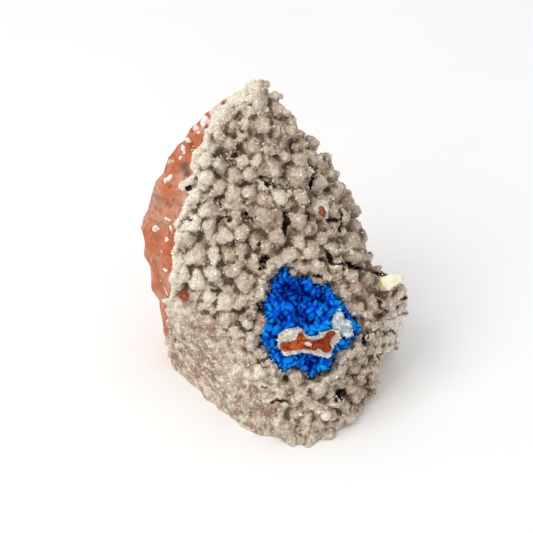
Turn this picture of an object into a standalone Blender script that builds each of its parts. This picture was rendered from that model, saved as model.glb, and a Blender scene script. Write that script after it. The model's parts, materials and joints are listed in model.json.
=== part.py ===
"""A cavansite specimen: blue crystals in a hollow of a pale, lumpy crust on red-brown basalt.

The rock stands on its flat broken foot. Its crusted face leans back, so what sits on the face
is laid out on a leaning plane with three axes: across (to the right), up (up the plane) and
out (square to the plane, towards someone who looks down at the face). Lengths in the tables
are millimetres. The model is in metres, +Z up, with the origin under the middle of its box.
"""
import math
import random

import bmesh
import bpy
from mathutils import Matrix, Vector
from mathutils import noise
from mathutils.bvhtree import BVHTree

MM = 0.001

# Driving dimensions
GAP = 0.35            # clear space between two minerals that touch
LUMP_STAND = 2.6      # how far the lumps stand out of the crust's base layer
FACET_STAND = 0.9     # the same on the flatter facet, low on the left
LUMP_SPACING = 0.84   # closest two lumps come, as a share of the sum of their radii
FOOT_DEPTH = 2.0      # how far the blocks reach below the foot before it is cut flat
ROCK_SCOOPS = 1.1     # depth of the shallow scoops on the rock's broken faces
HOLLOW_OUT = 7.3      # how far out the hollow's floor is under the middle of the wreath
HOLLOW_MIDDLE = (4, 27)
HOLLOW_RISE = 0.19    # how much further out the floor is for each mm up from there
HOLLOW_FALL = 0.24    # how much less far out it is for each mm to the right
HOLLOW_REACH = 12.0   # height of the hollow's cutter, clear of every lump
HOLLOW_EDGE = 0.5     # how far the hollow reaches past the outline of the wreath
HOLLOW_FLARE = 1.10   # the hollow's mouth over its floor
CORE_RELIEF = 1.6     # unevenness of the core's broken top
CUSHION = 1.3         # thickness of the grown-together base of the crystals
CRYSTAL_RADIUS = 1.25
CRYSTAL_SPACING = 1.9
CRYSTAL_FLAT = 0.7    # a crystal's narrow width over its broad width
CORE_HEIGHT = 5.6     # how far the broken core stands on the hollow's floor
BEAD_RADIUS = 1.35
PLANE_LEAN = math.radians(40)
CRUST_FACES = 5700
MATRIX_FACES = 1000
ROCK_VOXEL = 1.1      # size of the even faces that fuse the rock, the base layer and the crust
BASE_VOXEL = 1.2
CRUST_VOXEL = 0.65
SCOOP_SIZE = 9        # distance between the scoops on the rock's broken faces
GRAIN_SIZE = 3.1      # size of the finer unevenness of these faces
GRAIN_DEPTH = 0.5
LUMP_TRIES = 4000
CRYSTAL_TRIES = 3000
CRYSTAL_SHAFT = 0.62  # share of a crystal's length below its point
CRYSTAL_ROOT = 0.6    # how deep in the cushion a crystal starts
SEED = 7

ACROSS = Vector((1, 0, 0))
UP = Vector((0, math.sin(PLANE_LEAN), math.cos(PLANE_LEAN)))
OUT = Vector((0, -math.cos(PLANE_LEAN), math.sin(PLANE_LEAN)))

# Corners of the broken basalt: x to the right, y to the back, z up
MATRIX_CORNERS = [
    (-8, 34, 73.6), (-15.6, 35, 66.2), (-21.9, 35, 58.6), (-27.3, 33, 48.4), (-30, 31, 42.6),
    (-31.4, 30, 37), (-30.6, 29, 31.7), (-28.0, 27, 17.5), (-24.2, 25.5, 0),
    (-4, 32, 72), (-12.5, 31, 63), (-18.5, 26, 52.3), (-20, 22.3, 42.8), (-20.5, 17, 30),
    (-7, 12.5, 19.5), (-14.5, 18.5, 0), (-4, 9.5, 0), (8, 9.5, 0), (15, 13, 0), (19, 22, 0),
    (21, 36, 0), (8, 9.5, 13), (15, 15, 20), (19, 26, 20), (10, 31, 42), (0, 36, 60.5),
    (12, 40, 38), (-22, 40, 0), (-12, 45, 0), (18, 45, 0), (-27, 40, 30), (-20, 44, 36),
    (-8, 46, 48), (14, 45, 28), (-9, 41, 64), (-6, 37, 72.5),
]
# Corners of the crust's base layer, on which its lumps stand
FACE_CORNERS = [
    (-1.4, 33.2, 73.9), (-4.4, 32.6, 74.2), (-6.6, 31.8, 72.6), (-14, 28.5, 65), (-18.5, 23.5, 55), (-20.5, 18, 45),
    (-21.3, 12.8, 35.5), (-16, 11, 29.5), (-5.5, 5.0, 21), (7.5, 1.3, 15.5), (14, 3.8, 17),
    (17, 12, 28), (13, 22, 43), (0.2, 35, 70.6), (6.2, 34.5, 61.2), (11.7, 34.5, 52),
    (16.4, 36, 41.6), (18.8, 37, 30.7), (19.5, 38, 20.4), (-24, 24.4, 0), (-16.2, 15.6, 0),
    (-6.5, 3.6, 0), (3, 0.6, 0), (14.2, 2.4, 0), (23.8, 16, 0), (26, 38, 0), (25, 43.5, 0),
    (18.5, 43.5, 25), (9, 43.5, 45), (-3, 41, 64), (-6, 38, 70), (-8, 36, 70), (-14, 43.5, 0),
    (-20, 38, 0), (-22, 30, 40), (-16, 34, 56), (-26.6, 26, 18),
]
SHOULDER_CORNERS = [
    (12, 8, 4), (12, 10, 26), (20, 14, 27.6), (26.4, 18.5, 26.6), (28.6, 22, 22.3), (26.6, 27, 22.5),
    (16, 27, 26.5), (16, 8, 0), (24.2, 15.2, 0), (27.2, 28, 0), (26.5, 40, 0), (27.8, 32, 14),
    (24.6, 41, 18), (14, 42, 21), (12, 40, 0), (28.7, 26, 13),
]

# Lumps picked out by hand: across, up, radius
LUMPS = [
    (-2.9, 77.7, 2.2), (-4.4, 73.7, 2.0), (0.4, 75.9, 1.8), (-9.5, 71.1, 2.0), (-11, 66.7, 1.8),
    (-6.2, 68.6, 2.0), (-1.5, 69.3, 2.4), (-13.6, 62.7, 2.6), (-15.4, 58.3, 2.0),
    (-6.6, 62.7, 1.8), (5.9, 69.1, 2.2), (9.5, 64.9, 2.0), (5.5, 60.5, 2.6), (11, 59.4, 2.2),
    (14.3, 56.1, 2.2), (9.9, 51, 2.4), (5.5, 50.6, 2.2), (-2.9, 50.6, 2.6), (-8.4, 46.9, 3.5),
    (-0.7, 45.5, 2.6), (-16.5, 50.6, 2.2), (-18.7, 46.9, 2.2), (-13.2, 44, 2.6), (-19.8, 40.3, 2.6),
    (-16.5, 35.2, 3.1), (-13.2, 39.6, 2.2), (-7.7, 38.5, 2.6), (-11, 29.7, 3.1), (6.6, 41.8, 2.6),
    (12.1, 46.9, 2.2), (16.5, 45.1, 2.8), (9.5, 40.3, 1.8), (16.5, 35.2, 2.9), (20.9, 31.9, 2.2),
    (25.3, 30.8, 2.2), (16.5, 20.9, 2.2), (22, 22, 2.6), (18.7, 15.4, 2.2), (5.5, 11, 2.6),
    (2.2, 4.4, 3.1), (9.9, 7.7, 3.1), (18.7, 9.9, 2.0), (12.1, 2.2, 1.8), (-5.5, 8.8, 2.6),
    (-6.6, 23.1, 2.4), (-2.9, 16.5, 2.0),
]
# Dark caves and clefts between the lumps: across, up, half width, half height, depth
CAVES = [
    (-1.5, 59.6, 1.8, 2.6, 2.5), (7.9, 58.1, 1.1, 2.9, 2.6), (12.1, 49, 2.0, 3.6, 2.6),
    (-2.6, 39.6, 1.3, 1.1, 2.4), (-3.5, 29.9, 1.0, 1.0, 1.8), (11.2, 41.4, 1.2, 1.5, 2.2),
    (20.2, 39.4, 4.4, 1.3, 2.4), (25.3, 37.8, 2.2, 1.2, 2.0), (20.3, 23.1, 1.1, 2.2, 2.4),
    (14.7, 10.6, 2.2, 2.2, 2.6), (-17.4, 57.5, 1.5, 1.6, 1.8), (-11.4, 54.5, 1.2, 2.0, 1.6),
]
# Outline of the flatter facet, low on the left, across and up
FACET = [
    (-25, 32), (-19, 30), (-12, 26), (-6, 19), (1, 14), (3, 8), (-2, 0), (-14, -2), (-30, 12),
]
# Outline of the cavansite wreath, across and up
WREATH = [
    (2.4, 38.8), (4.6, 37.6), (7.9, 37), (10.3, 35), (12.3, 35), (14.3, 32.8), (15.6, 30.6),
    (17.2, 28.4), (19.6, 25.7), (18, 21.8), (15.4, 20.5), (12.8, 18.3), (12.1, 16.1),
    (8.1, 14.5), (2.4, 14.5), (-0.9, 17.4), (-2.9, 20.9), (-3.1, 24.4), (-2.2, 26.2),
    (-2.9, 30.8), (-1.8, 34.1), (0, 38.1),
]
# Outline of the broken core, across and up
CORE = [
    (0.4, 20.5), (0.7, 24), (2.9, 25.7), (6.2, 25.5), (7.3, 24), (10.6, 24.2), (12.8, 26.4),
    (15, 29.3), (16.5, 27.9), (16.5, 24.2), (14.5, 22), (13, 19.1), (9.5, 19.4), (5.5, 20.2),
    (2.2, 19.6),
]
# Corners of the pale broken crystal: across, up, out, from its own middle
PALE_CORNERS = [
    (-2.9, 1.0, -1.4), (-2.6, -1.9, -1.5), (1.2, -1.6, -1.8), (2.6, 0.6, -1.6), (1.9, 1.9, -1.4),
    (-2.7, 1.2, 1.2), (-2.2, -0.5, 1.5), (-0.6, -2.0, 1.2), (0.9, -1.4, 1.4), (2.4, 0.5, 1.3),
    (2.2, 1.9, 1.2), (-0.4, 2.1, 1.3), (2.9, 1.2, -0.2),
]
PALE_PLACE = (26.2, 35.6, 3.0)
BEAD_PLACE = (11.4, 6.0)
BOWL = (5.9, 31.2)    # middle of the bowl of crystals, the upper half of the wreath
# Pits on the rock's broken faces: place, half width, depth
PITS = [
    ((-24, 28, 46), 2.2, 0.8), ((-23.5, 22, 36), 1.8, 0.7), ((-26, 27, 33), 1.6, 0.7),
    ((-18.5, 32, 58), 2.0, 0.8), ((-20, 45, 30), 3.0, 1.0), ((-5, 46, 30), 3.5, 1.0),
    ((8, 45, 22), 3.0, 1.0), ((-24, 30, 12), 2.4, 0.8), ((-15, 42, 50), 2.6, 0.9),
]


def on_plane(across, up, out=0.0):
    """A point from millimetres along the leaning plane's three axes."""
    return (ACROSS * across + UP * up + OUT * out) * MM


def plane_place(point):
    """How far a point is across and up the leaning plane, in mm."""
    return point.dot(ACROSS) / MM, point.dot(UP) / MM


def inside(outline, across, up):
    """Whether a place on the leaning plane is inside a closed outline."""
    crossings = 0
    for (x0, y0), (x1, y1) in zip(outline, outline[1:] + outline[:1]):
        if (y0 > up) != (y1 > up) and across < x0 + (up - y0) * (x1 - x0) / (y1 - y0):
            crossings += 1
    return crossings % 2 == 1


def material(name, colour, roughness, metallic=0.0):
    """A plain surface for one mineral."""
    made = bpy.data.materials.new(name)
    made.use_nodes = True
    shader = made.node_tree.nodes["Principled BSDF"]
    shader.inputs["Base Color"].default_value = (*colour, 1.0)
    shader.inputs["Roughness"].default_value = roughness
    shader.inputs["Metallic"].default_value = metallic
    return made


def new_object(name, bm, collection):
    """Turns a bmesh into a linked object of that name."""
    bmesh.ops.recalc_face_normals(bm, faces=bm.faces[:])
    mesh = bpy.data.meshes.new(name)
    bm.to_mesh(mesh)
    bm.free()
    obj = bpy.data.objects.new(name, mesh)
    collection.objects.link(obj)
    return obj


def applied(obj):
    """Gives obj the mesh that its modifiers make, and removes the modifiers."""
    bpy.context.view_layer.update()
    graph = bpy.context.evaluated_depsgraph_get()
    mesh = bpy.data.meshes.new_from_object(obj.evaluated_get(graph))
    old = obj.data
    obj.modifiers.clear()
    obj.data = mesh
    bpy.data.meshes.remove(old)
    return obj


def remesh(obj, voxel):
    """Fuses everything in obj into one closed skin of even faces, voxel mm apart."""
    modifier = obj.modifiers.new("fuse", "REMESH")
    modifier.mode = "VOXEL"
    modifier.voxel_size = voxel * MM
    return applied(obj)


def thin_out(obj, triangles):
    """Collapses the flattest edges until about that many triangles are left."""
    now = sum(len(polygon.vertices) - 2 for polygon in obj.data.polygons)
    modifier = obj.modifiers.new("thin out", "DECIMATE")
    modifier.ratio = min(1.0, triangles / now)
    return applied(obj)


def boolean(obj, other, operation):
    """Applies an exact Boolean of obj with other, which is used up."""
    modifier = obj.modifiers.new(operation.lower(), "BOOLEAN")
    modifier.object = other
    modifier.operation = operation
    modifier.solver = "EXACT"
    applied(obj)
    bpy.data.objects.remove(other)
    return obj


def keep_largest(obj):
    """Removes every loose chip and keeps the largest closed piece, in triangles."""
    bm = bmesh.new()
    bm.from_mesh(obj.data)
    bmesh.ops.remove_doubles(bm, verts=bm.verts, dist=0.002 * MM)
    bmesh.ops.triangulate(bm, faces=bm.faces[:])
    left = set(bm.faces)
    largest = set()
    while left:
        queue = [left.pop()]
        island = set(queue)
        while queue:
            for edge in queue.pop().edges:
                for face in edge.link_faces:
                    if face in left:
                        left.discard(face)
                        island.add(face)
                        queue.append(face)
        largest = max(largest, island, key=len)
    spare = [face for face in bm.faces if face not in largest]
    bmesh.ops.delete(bm, geom=spare, context="FACES")
    bm.to_mesh(obj.data)
    bm.free()
    return obj


def add_hull(bm, corners, grown=0.0):
    """Adds the convex block that the corners span, grown on every side by that many mm."""
    steps = [(0, 0, 0)]
    if grown:
        steps = [(x, y, z) for x in (-grown, grown) for y in (-grown, grown) for z in (-grown, grown)]
    verts = [bm.verts.new((Vector(corner) + Vector(step)) * MM) for corner in corners for step in steps]
    made = bmesh.ops.convex_hull(bm, input=verts)
    spare = {item for item in made["geom_interior"] if isinstance(item, bmesh.types.BMVert)}
    spare |= {vert for vert in verts if vert.is_valid and not vert.link_faces}
    bmesh.ops.delete(bm, geom=list(spare), context="VERTS")


def grown_outline(outline, by):
    """The outline with every corner moved outwards by that many mm."""
    made = []
    count = len(outline)
    for index, (x, y) in enumerate(outline):
        before = Vector(outline[index - 1])
        after = Vector(outline[(index + 1) % count])
        here = Vector((x, y))
        first = (here - before).normalized()
        second = (after - here).normalized()
        normal = Vector((-(first.y + second.y), first.x + second.x)).normalized()
        sharpness = max(0.5, normal.dot(Vector((-first.y, first.x))))
        made.append(tuple(here + normal * by / sharpness))
    return made


def add_prism(bm, outline, low_by, high_by, flare=1.0):
    """Raises an outline from low_by to high_by mm above the hollow's floor, flared on the way."""
    middle = sum((Vector(corner) for corner in outline), Vector((0, 0))) / len(outline)
    low = [bm.verts.new(on_plane(*corner, hollow_floor(*corner, low_by))) for corner in outline]
    raised = bmesh.ops.extrude_face_region(bm, geom=[bm.faces.new(low)])["geom"]
    for vert in (item for item in raised if isinstance(item, bmesh.types.BMVert)):
        wide = middle + (Vector(plane_place(vert.co)) - middle) * flare
        vert.co = on_plane(*wide, hollow_floor(*wide, high_by))
    bmesh.ops.triangulate(bm, faces=bm.faces[:])


def hollow_floor(across, up, above=0.0):
    """How far out a place is that lies that many mm above the hollow's flat floor."""
    right = across - HOLLOW_MIDDLE[0]
    higher = up - HOLLOW_MIDDLE[1]
    return HOLLOW_OUT + HOLLOW_RISE * higher - HOLLOW_FALL * right + above


def down_to_foot(corners):
    """The corners, with those on the foot repeated below it."""
    return corners + [(x, y, -FOOT_DEPTH) for x, y, z in corners if z == 0]


def cut_foot(obj, cutters):
    """Cuts obj flat where it stands."""
    bm = bmesh.new()
    place = Matrix.Translation((0, 0.02, -0.05))
    bmesh.ops.create_cube(bm, size=0.1, matrix=place @ Matrix.Diagonal((2, 2, 1, 1)))
    return boolean(obj, new_object("floor cutter", bm, cutters), "DIFFERENCE")


def rock_block(name, grown, collection):
    """The block that the rock fills, grown on every side by that many mm."""
    bm = bmesh.new()
    add_hull(bm, down_to_foot(MATRIX_CORNERS), grown)
    return new_object(name, bm, collection)


def build_matrix(collection, cutters):
    """The basalt: a broken block, scooped and pitted where it shows."""
    rock = remesh(rock_block("matrix", 0.0, collection), ROCK_VOXEL)
    face_block = bmesh.new()
    add_hull(face_block, down_to_foot(FACE_CORNERS))
    cover = BVHTree.FromBMesh(face_block)
    face_block.free()
    normals = [vert.normal.copy() for vert in rock.data.vertices]
    for vert, normal in zip(rock.data.vertices, normals):
        near, facing, _, _ = cover.find_nearest(vert.co)
        shown = min(1.0, max(0.0, (vert.co - near).dot(facing) / MM))
        place = vert.co / MM
        distances, _ = noise.voronoi(place / SCOOP_SIZE)
        scoop = ROCK_SCOOPS * (1 - min(1.0, (distances[1] - distances[0]) * 2.2))
        grain = GRAIN_DEPTH * abs(noise.noise(place / GRAIN_SIZE))
        pit = sum(
            depth * max(0.0, 1 - ((place - Vector(spot)).length / wide) ** 2)
            for spot, wide, depth in PITS
        )
        flat = min(1.0, max(0.0, (place.z - 0.5) / 2))
        vert.co -= normal * (ROCK_SCOOPS - scoop + grain + pit) * shown * flat * MM
    thin_out(rock, MATRIX_FACES)
    return keep_largest(cut_foot(rock, cutters))


def base_layer(cutters):
    """The crust's base layer as one smooth body."""
    bm = bmesh.new()
    add_hull(bm, down_to_foot(FACE_CORNERS))
    add_hull(bm, down_to_foot(SHOULDER_CORNERS))
    return remesh(new_object("base layer", bm, cutters), BASE_VOXEL)


def add_lump(bm, place, normal, radius, stand, dice):
    """Adds one rounded lump that stands out of a surface by that many mm."""
    centre = place + normal * (stand - radius) * MM
    squash = Matrix.Diagonal([dice.uniform(0.88, 1.14) for _ in range(3)]).to_4x4()
    turn = Vector([dice.uniform(-1, 1) for _ in range(3)]).to_track_quat("Z", "Y").to_matrix().to_4x4()
    matrix = Matrix.Translation(centre) @ turn @ squash
    bmesh.ops.create_icosphere(bm, subdivisions=2, radius=radius * MM, matrix=matrix)


def scattered(mesh, count, dice):
    """Random places on a mesh, each with its surface's normal, spread evenly by area."""
    faces = [face for face in mesh.polygons]
    areas = [face.area for face in faces]
    for face in dice.choices(faces, areas, k=count):
        corners = [mesh.vertices[index].co for index in face.vertices]
        shares = [dice.random() for _ in corners]
        total = sum(shares)
        place = sum((corner * share / total for corner, share in zip(corners, shares)), Vector())
        yield place, face.normal.copy()


def add_lumps(bm, base, rock):
    """Covers the base layer's open faces with lumps."""
    dice = random.Random(SEED)
    tree = BVHTree.FromObject(base, bpy.context.evaluated_depsgraph_get())
    stone = BVHTree.FromObject(rock, bpy.context.evaluated_depsgraph_get())
    placed = []
    for across, up, radius in LUMPS:
        place, normal, _, _ = tree.ray_cast(on_plane(across, up, 60), -OUT)
        if place is not None:
            placed.append((place, radius))
            add_lump(bm, place, normal, radius, LUMP_STAND, dice)
    for place, normal in scattered(base.data, LUMP_TRIES, dice):
        across, up = plane_place(place)
        near, facing, _, _ = stone.find_nearest(place)
        buried = (place - near).dot(facing) < 1.0 * MM
        low = place.z < -0.6 * MM or normal.z < -0.5
        in_wreath = normal.dot(OUT) > 0 and inside(grown_outline(WREATH, 1.2), across, up)
        if buried or low or in_wreath or normal.y > 0.8:
            continue
        on_facet = inside(FACET, across, up) and normal.dot(OUT) > 0
        radius = dice.uniform(2.6, 4.2) if on_facet else dice.choice((1.6, 2.1, 2.5, 2.9, 3.3))
        stand = (FACET_STAND if on_facet else LUMP_STAND) * dice.uniform(0.75, 1.1)
        if any((place - other).length < LUMP_SPACING * (radius + size) * MM for other, size in placed):
            continue
        placed.append((place, radius))
        add_lump(bm, place, normal, radius, stand, dice)


def sink_caves(obj):
    """Presses the dark caves and clefts into the lumpy face."""
    for vert in obj.data.vertices:
        across, up = plane_place(vert.co)
        if vert.normal.dot(OUT) < -0.2:
            continue
        for x, y, half_width, half_height, depth in CAVES:
            far = ((across - x) / half_width) ** 2 + ((up - y) / half_height) ** 2
            if far < 1:
                vert.co -= OUT * depth * (1 - far) ** 2 * MM


def build_crust(rock, collection, cutters):
    """The lumpy crust: base layer and lumps fused, with the rock's room and the hollow cut."""
    base = base_layer(cutters)
    bm = bmesh.new()
    bm.from_mesh(base.data)
    add_lumps(bm, base, rock)
    crust = remesh(new_object("crust", bm, collection), CRUST_VOXEL)
    bpy.data.objects.remove(base)
    sink_caves(crust)
    thin_out(crust, CRUST_FACES)
    cut_foot(crust, cutters)
    boolean(crust, rock_block("rock room", GAP, cutters), "DIFFERENCE")
    keep_largest(crust)
    hollow = bmesh.new()
    add_prism(hollow, grown_outline(WREATH, HOLLOW_EDGE), 0.0, HOLLOW_REACH, HOLLOW_FLARE)
    boolean(crust, new_object("hollow cutter", hollow, cutters), "DIFFERENCE")
    return crust


def crystal(base, towards, length, radius, dice):
    """One flattened four-sided prism with a four-sided point."""
    bm = bmesh.new()
    shaft = length * CRYSTAL_SHAFT
    turn = towards.to_track_quat("Z", "Y").to_matrix().to_4x4()
    turn = turn @ Matrix.Rotation(dice.uniform(0, math.tau), 4, "Z")
    place = Matrix.Translation(base + towards * shaft / 2 * MM) @ turn
    bmesh.ops.create_cone(
        bm, cap_ends=True, segments=4, radius1=radius * 0.8 * MM, radius2=radius * MM,
        depth=shaft * MM, matrix=place @ Matrix.Diagonal((1, CRYSTAL_FLAT, 1, 1)),
    )
    top = max(bm.faces, key=lambda face: face.calc_center_median().dot(towards))
    bmesh.ops.recalc_face_normals(bm, faces=bm.faces[:])
    bmesh.ops.poke(bm, faces=[top], offset=(length - shaft) * MM)
    return bm


def crystal_places(dice):
    """Where each crystal of the wreath starts, which way it grows and how long it is."""
    room = grown_outline(WREATH, -0.5)
    core = grown_outline(CORE, 0.5)
    spots = []
    for _ in range(CRYSTAL_TRIES):
        across, up = dice.uniform(-4, 20), dice.uniform(13, 41)
        spot = Vector((across, up))
        if not inside(room, across, up) or inside(core, across, up):
            continue
        if any((spot - other).length < CRYSTAL_SPACING for other in spots):
            continue
        spots.append(spot)
        middle = Vector(BOWL) if up > 25.5 else Vector((min(13.5, max(1.5, across)), 22.0))
        away = spot - middle
        lean = math.radians(min(42, 10 + 5 * away.length) * dice.uniform(0.8, 1.2))
        sideways = (ACROSS * away.x + UP * away.y).normalized()
        towards = OUT * math.cos(lean) + sideways * math.sin(lean)
        yield spot, towards, min(7.0, 4.3 + 0.4 * away.length) * dice.uniform(0.85, 1.15)


def build_cavansite(collection, cutters):
    """The wreath of blue crystals, grown together on one cushion in the hollow."""
    dice = random.Random(SEED)
    edge = HOLLOW_EDGE - GAP
    bm = bmesh.new()
    add_prism(bm, grown_outline(WREATH, edge - 0.1), GAP, GAP + CUSHION)
    wreath = new_object("cavansite", bm, collection)
    for (across, up), towards, length in crystal_places(dice):
        base = on_plane(across, up, hollow_floor(across, up, GAP + CRYSTAL_ROOT))
        radius = dice.uniform(0.85, 1.15) * CRYSTAL_RADIUS
        made = crystal(base, towards, length, radius, dice)
        boolean(wreath, new_object("crystal", made, cutters), "UNION")
    room = bmesh.new()
    add_prism(room, grown_outline(WREATH, edge), GAP * 0.9, HOLLOW_REACH, HOLLOW_FLARE)
    boolean(wreath, new_object("hollow room", room, cutters), "INTERSECT")
    core = bmesh.new()
    add_prism(core, grown_outline(CORE, GAP), -1, HOLLOW_REACH + 1)
    boolean(wreath, new_object("core room", core, cutters), "DIFFERENCE")
    return keep_largest(wreath)


def build_core(collection):
    """The broken bar of rock that stands in the middle of the wreath."""
    bm = bmesh.new()
    add_prism(bm, CORE, GAP, CORE_HEIGHT)
    for vert in bm.verts:
        across, up = plane_place(vert.co)
        height = vert.co.dot(OUT) / MM - hollow_floor(across, up)
        if height > 2:
            vert.co += OUT * CORE_RELIEF * noise.noise(vert.co / MM / 2.7) * MM
    return new_object("core_stub", bm, collection)


def pale_block(name, grown, collection):
    """The broken pale crystal's block, grown on every side by that many mm."""
    across, up, out = PALE_PLACE
    corners = [on_plane(across + x, up + y, out + z) / MM for x, y, z in PALE_CORNERS]
    bm = bmesh.new()
    add_hull(bm, corners, grown)
    return new_object(name, bm, collection)


def ball(name, centre, radius, collection):
    """A round body, radius in mm."""
    bm = bmesh.new()
    bmesh.ops.create_icosphere(bm, subdivisions=2, radius=radius * MM, matrix=Matrix.Translation(centre))
    return new_object(name, bm, collection)


def finish(pieces, looks):
    """Gives every piece its surface and moves the middle of the foot to the origin."""
    corners = [vert.co for piece in pieces for vert in piece.data.vertices]
    low = [min(corner[axis] for corner in corners) for axis in range(3)]
    high = [max(corner[axis] for corner in corners) for axis in range(3)]
    shift = Vector((-(low[0] + high[0]) / 2, -(low[1] + high[1]) / 2, -low[2]))
    for piece in pieces:
        piece.data.transform(Matrix.Translation(shift))
        piece.data.materials.clear()
        piece.data.materials.append(looks[piece.name])
        smooth = piece.name in ("crust", "bead")
        for polygon in piece.data.polygons:
            polygon.use_smooth = smooth
    return shift


def main():
    for obj in list(bpy.data.objects):
        bpy.data.objects.remove(obj)
    specimen = bpy.data.collections.new("cavansite_specimen")
    cutters = bpy.data.collections.new("cutters")
    bpy.context.scene.collection.children.link(specimen)
    bpy.context.scene.collection.children.link(cutters)
    looks = {
        "matrix": material("red-brown basalt", (0.40, 0.13, 0.06), 0.85),
        "crust": material("grey-beige crust", (0.36, 0.28, 0.21), 0.8),
        "cavansite": material("blue cavansite", (0.01, 0.13, 0.60), 0.3),
        "core_stub": material("red-brown core", (0.38, 0.10, 0.03), 0.8),
        "pale_crystal": material("pale yellow crystal", (0.72, 0.66, 0.42), 0.35),
        "bead": material("pale bead", (0.62, 0.55, 0.45), 0.4),
    }
    rock = build_matrix(specimen, cutters)
    crust = build_crust(rock, specimen, cutters)
    surface = BVHTree.FromObject(crust, bpy.context.evaluated_depsgraph_get())
    spot, _, _, _ = surface.ray_cast(on_plane(*BEAD_PLACE, 60), -OUT)
    spot -= OUT * BEAD_RADIUS * 0.2 * MM
    boolean(crust, ball("bead room", spot, BEAD_RADIUS + GAP * 1.15, cutters), "DIFFERENCE")
    boolean(crust, pale_block("pale room", GAP, cutters), "DIFFERENCE")
    keep_largest(crust)
    pieces = [
        rock,
        crust,
        build_cavansite(specimen, cutters),
        build_core(specimen),
        pale_block("pale_crystal", 0.0, specimen),
        ball("bead", spot, BEAD_RADIUS, specimen),
    ]
    return finish(pieces, looks)


main()
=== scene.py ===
"""Looks of a cavansite specimen: blue crystals in a hollow of a sugary crust on red-brown basalt.

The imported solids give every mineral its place. The crust gets its small lumps and its druse of
tiny crystals, the wreath its many blue crystals, and the basalt its grain, pits and filled gas
bubbles. What sits on the crusted face is laid out on a leaning plane with three axes: across
(to the right), up (up the plane) and out (square to it). Lengths are millimetres unless a name
ends in _m.
"""

from __future__ import annotations

import json
import logging
import math
import random
from dataclasses import dataclass
from enum import Enum
from typing import Callable, ClassVar, Iterable, Sequence

import bmesh
import bpy
import numpy as np
from bpy.types import Material, Mesh, Node, NodeSocket, NodeTree, Object
from mathutils import Matrix, Vector, noise
from mathutils.bvhtree import BVHTree

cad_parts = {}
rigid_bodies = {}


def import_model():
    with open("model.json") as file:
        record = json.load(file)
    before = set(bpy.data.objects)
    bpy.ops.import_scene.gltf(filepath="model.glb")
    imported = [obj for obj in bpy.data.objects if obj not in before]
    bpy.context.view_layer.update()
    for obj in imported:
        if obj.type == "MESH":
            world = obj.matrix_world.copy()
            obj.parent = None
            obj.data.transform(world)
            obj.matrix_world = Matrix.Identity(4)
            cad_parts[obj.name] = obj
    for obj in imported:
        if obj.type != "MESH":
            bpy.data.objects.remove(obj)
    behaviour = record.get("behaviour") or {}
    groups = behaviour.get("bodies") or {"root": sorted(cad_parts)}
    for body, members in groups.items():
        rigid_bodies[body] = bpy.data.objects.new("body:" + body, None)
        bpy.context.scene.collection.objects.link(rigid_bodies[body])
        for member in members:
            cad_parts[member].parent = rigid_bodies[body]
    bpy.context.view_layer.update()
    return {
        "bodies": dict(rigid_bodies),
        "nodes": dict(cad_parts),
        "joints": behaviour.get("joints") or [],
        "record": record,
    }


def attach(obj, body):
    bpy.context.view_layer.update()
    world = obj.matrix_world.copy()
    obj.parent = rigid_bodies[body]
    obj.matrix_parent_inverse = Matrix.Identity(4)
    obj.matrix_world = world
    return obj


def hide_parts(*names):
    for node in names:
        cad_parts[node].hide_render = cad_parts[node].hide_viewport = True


LOG = logging.getLogger("cavansite specimen")

MM = 0.001
# Without a seed, noise vectors would start from the clock
NOISE_SEED = 5

# The leaning plane of the crusted face, and where its origin is in the row frame
LEAN = math.radians(40)
ACROSS = Vector((1, 0, 0))
UP = Vector((0, math.sin(LEAN), math.cos(LEAN)))
OUT = Vector((0, -math.cos(LEAN), math.sin(LEAN)))
PLANE_ORIGIN = Vector((-0.299, -22.158, 0)) * MM
# Looks at the face start this far out of the plane
IN_FRONT = 80.0

# Across, past every edge of the face
NO_LIMIT = 40.0
# Farther than anything that is compared with it
FAR = 99.0

Point = tuple[float, float]
Colour = tuple[float, float, float]


def on_plane(across: float, up: float, out: float = 0.0) -> Vector:
    """A point in the row frame.

    Args:
        across: millimetres to the right on the leaning plane.
        up: millimetres up the plane.
        out: millimetres out of the plane.

    Returns:
        The point, in metres.
    """
    return PLANE_ORIGIN + (ACROSS * across + UP * up + OUT * out) * MM


def plane_places(points: np.ndarray) -> tuple[np.ndarray, np.ndarray, np.ndarray]:
    """Where points lie on the leaning plane.

    Args:
        points: an array of points in the row frame, in metres.

    Returns:
        Across, up and out of every point, in millimetres.
    """
    local = (points - np.array(PLANE_ORIGIN)) / MM
    return local @ np.array(ACROSS), local @ np.array(UP), local @ np.array(OUT)


def plane_place(point: Vector) -> tuple[float, float, float]:
    """Across, up and out of one point on the leaning plane, in millimetres."""
    across, up, out = plane_places(np.array([point[:]]))
    return across[0], up[0], out[0]


def inside(outline: Sequence[Point], across: float, up: float) -> bool:
    """Whether a place on the leaning plane is inside a closed outline."""
    crossings = 0
    for (x0, y0), (x1, y1) in zip(outline, [*outline[1:], outline[0]]):
        if (y0 > up) != (y1 > up) and across < x0 + (up - y0) * (x1 - x0) / (y1 - y0):
            crossings += 1
    return crossings % 2 == 1


# Meshes as arrays


def points_of(mesh: Mesh) -> np.ndarray:
    """All vertices of a mesh as one array."""
    flat = np.empty(len(mesh.vertices) * 3, np.float32)
    mesh.vertices.foreach_get("co", flat)
    return flat.reshape(-1, 3).astype(float)


def normals_of(mesh: Mesh) -> np.ndarray:
    """All vertex normals of a mesh as one array."""
    flat = np.empty(len(mesh.vertices) * 3, np.float32)
    mesh.vertex_normals.foreach_get("vector", flat)
    return flat.reshape(-1, 3).astype(float)


def move_points(mesh: Mesh, points: np.ndarray) -> None:
    """Gives a mesh's vertices new places."""
    mesh.vertices.foreach_set("co", points.astype(np.float32).ravel())
    mesh.update()


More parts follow.
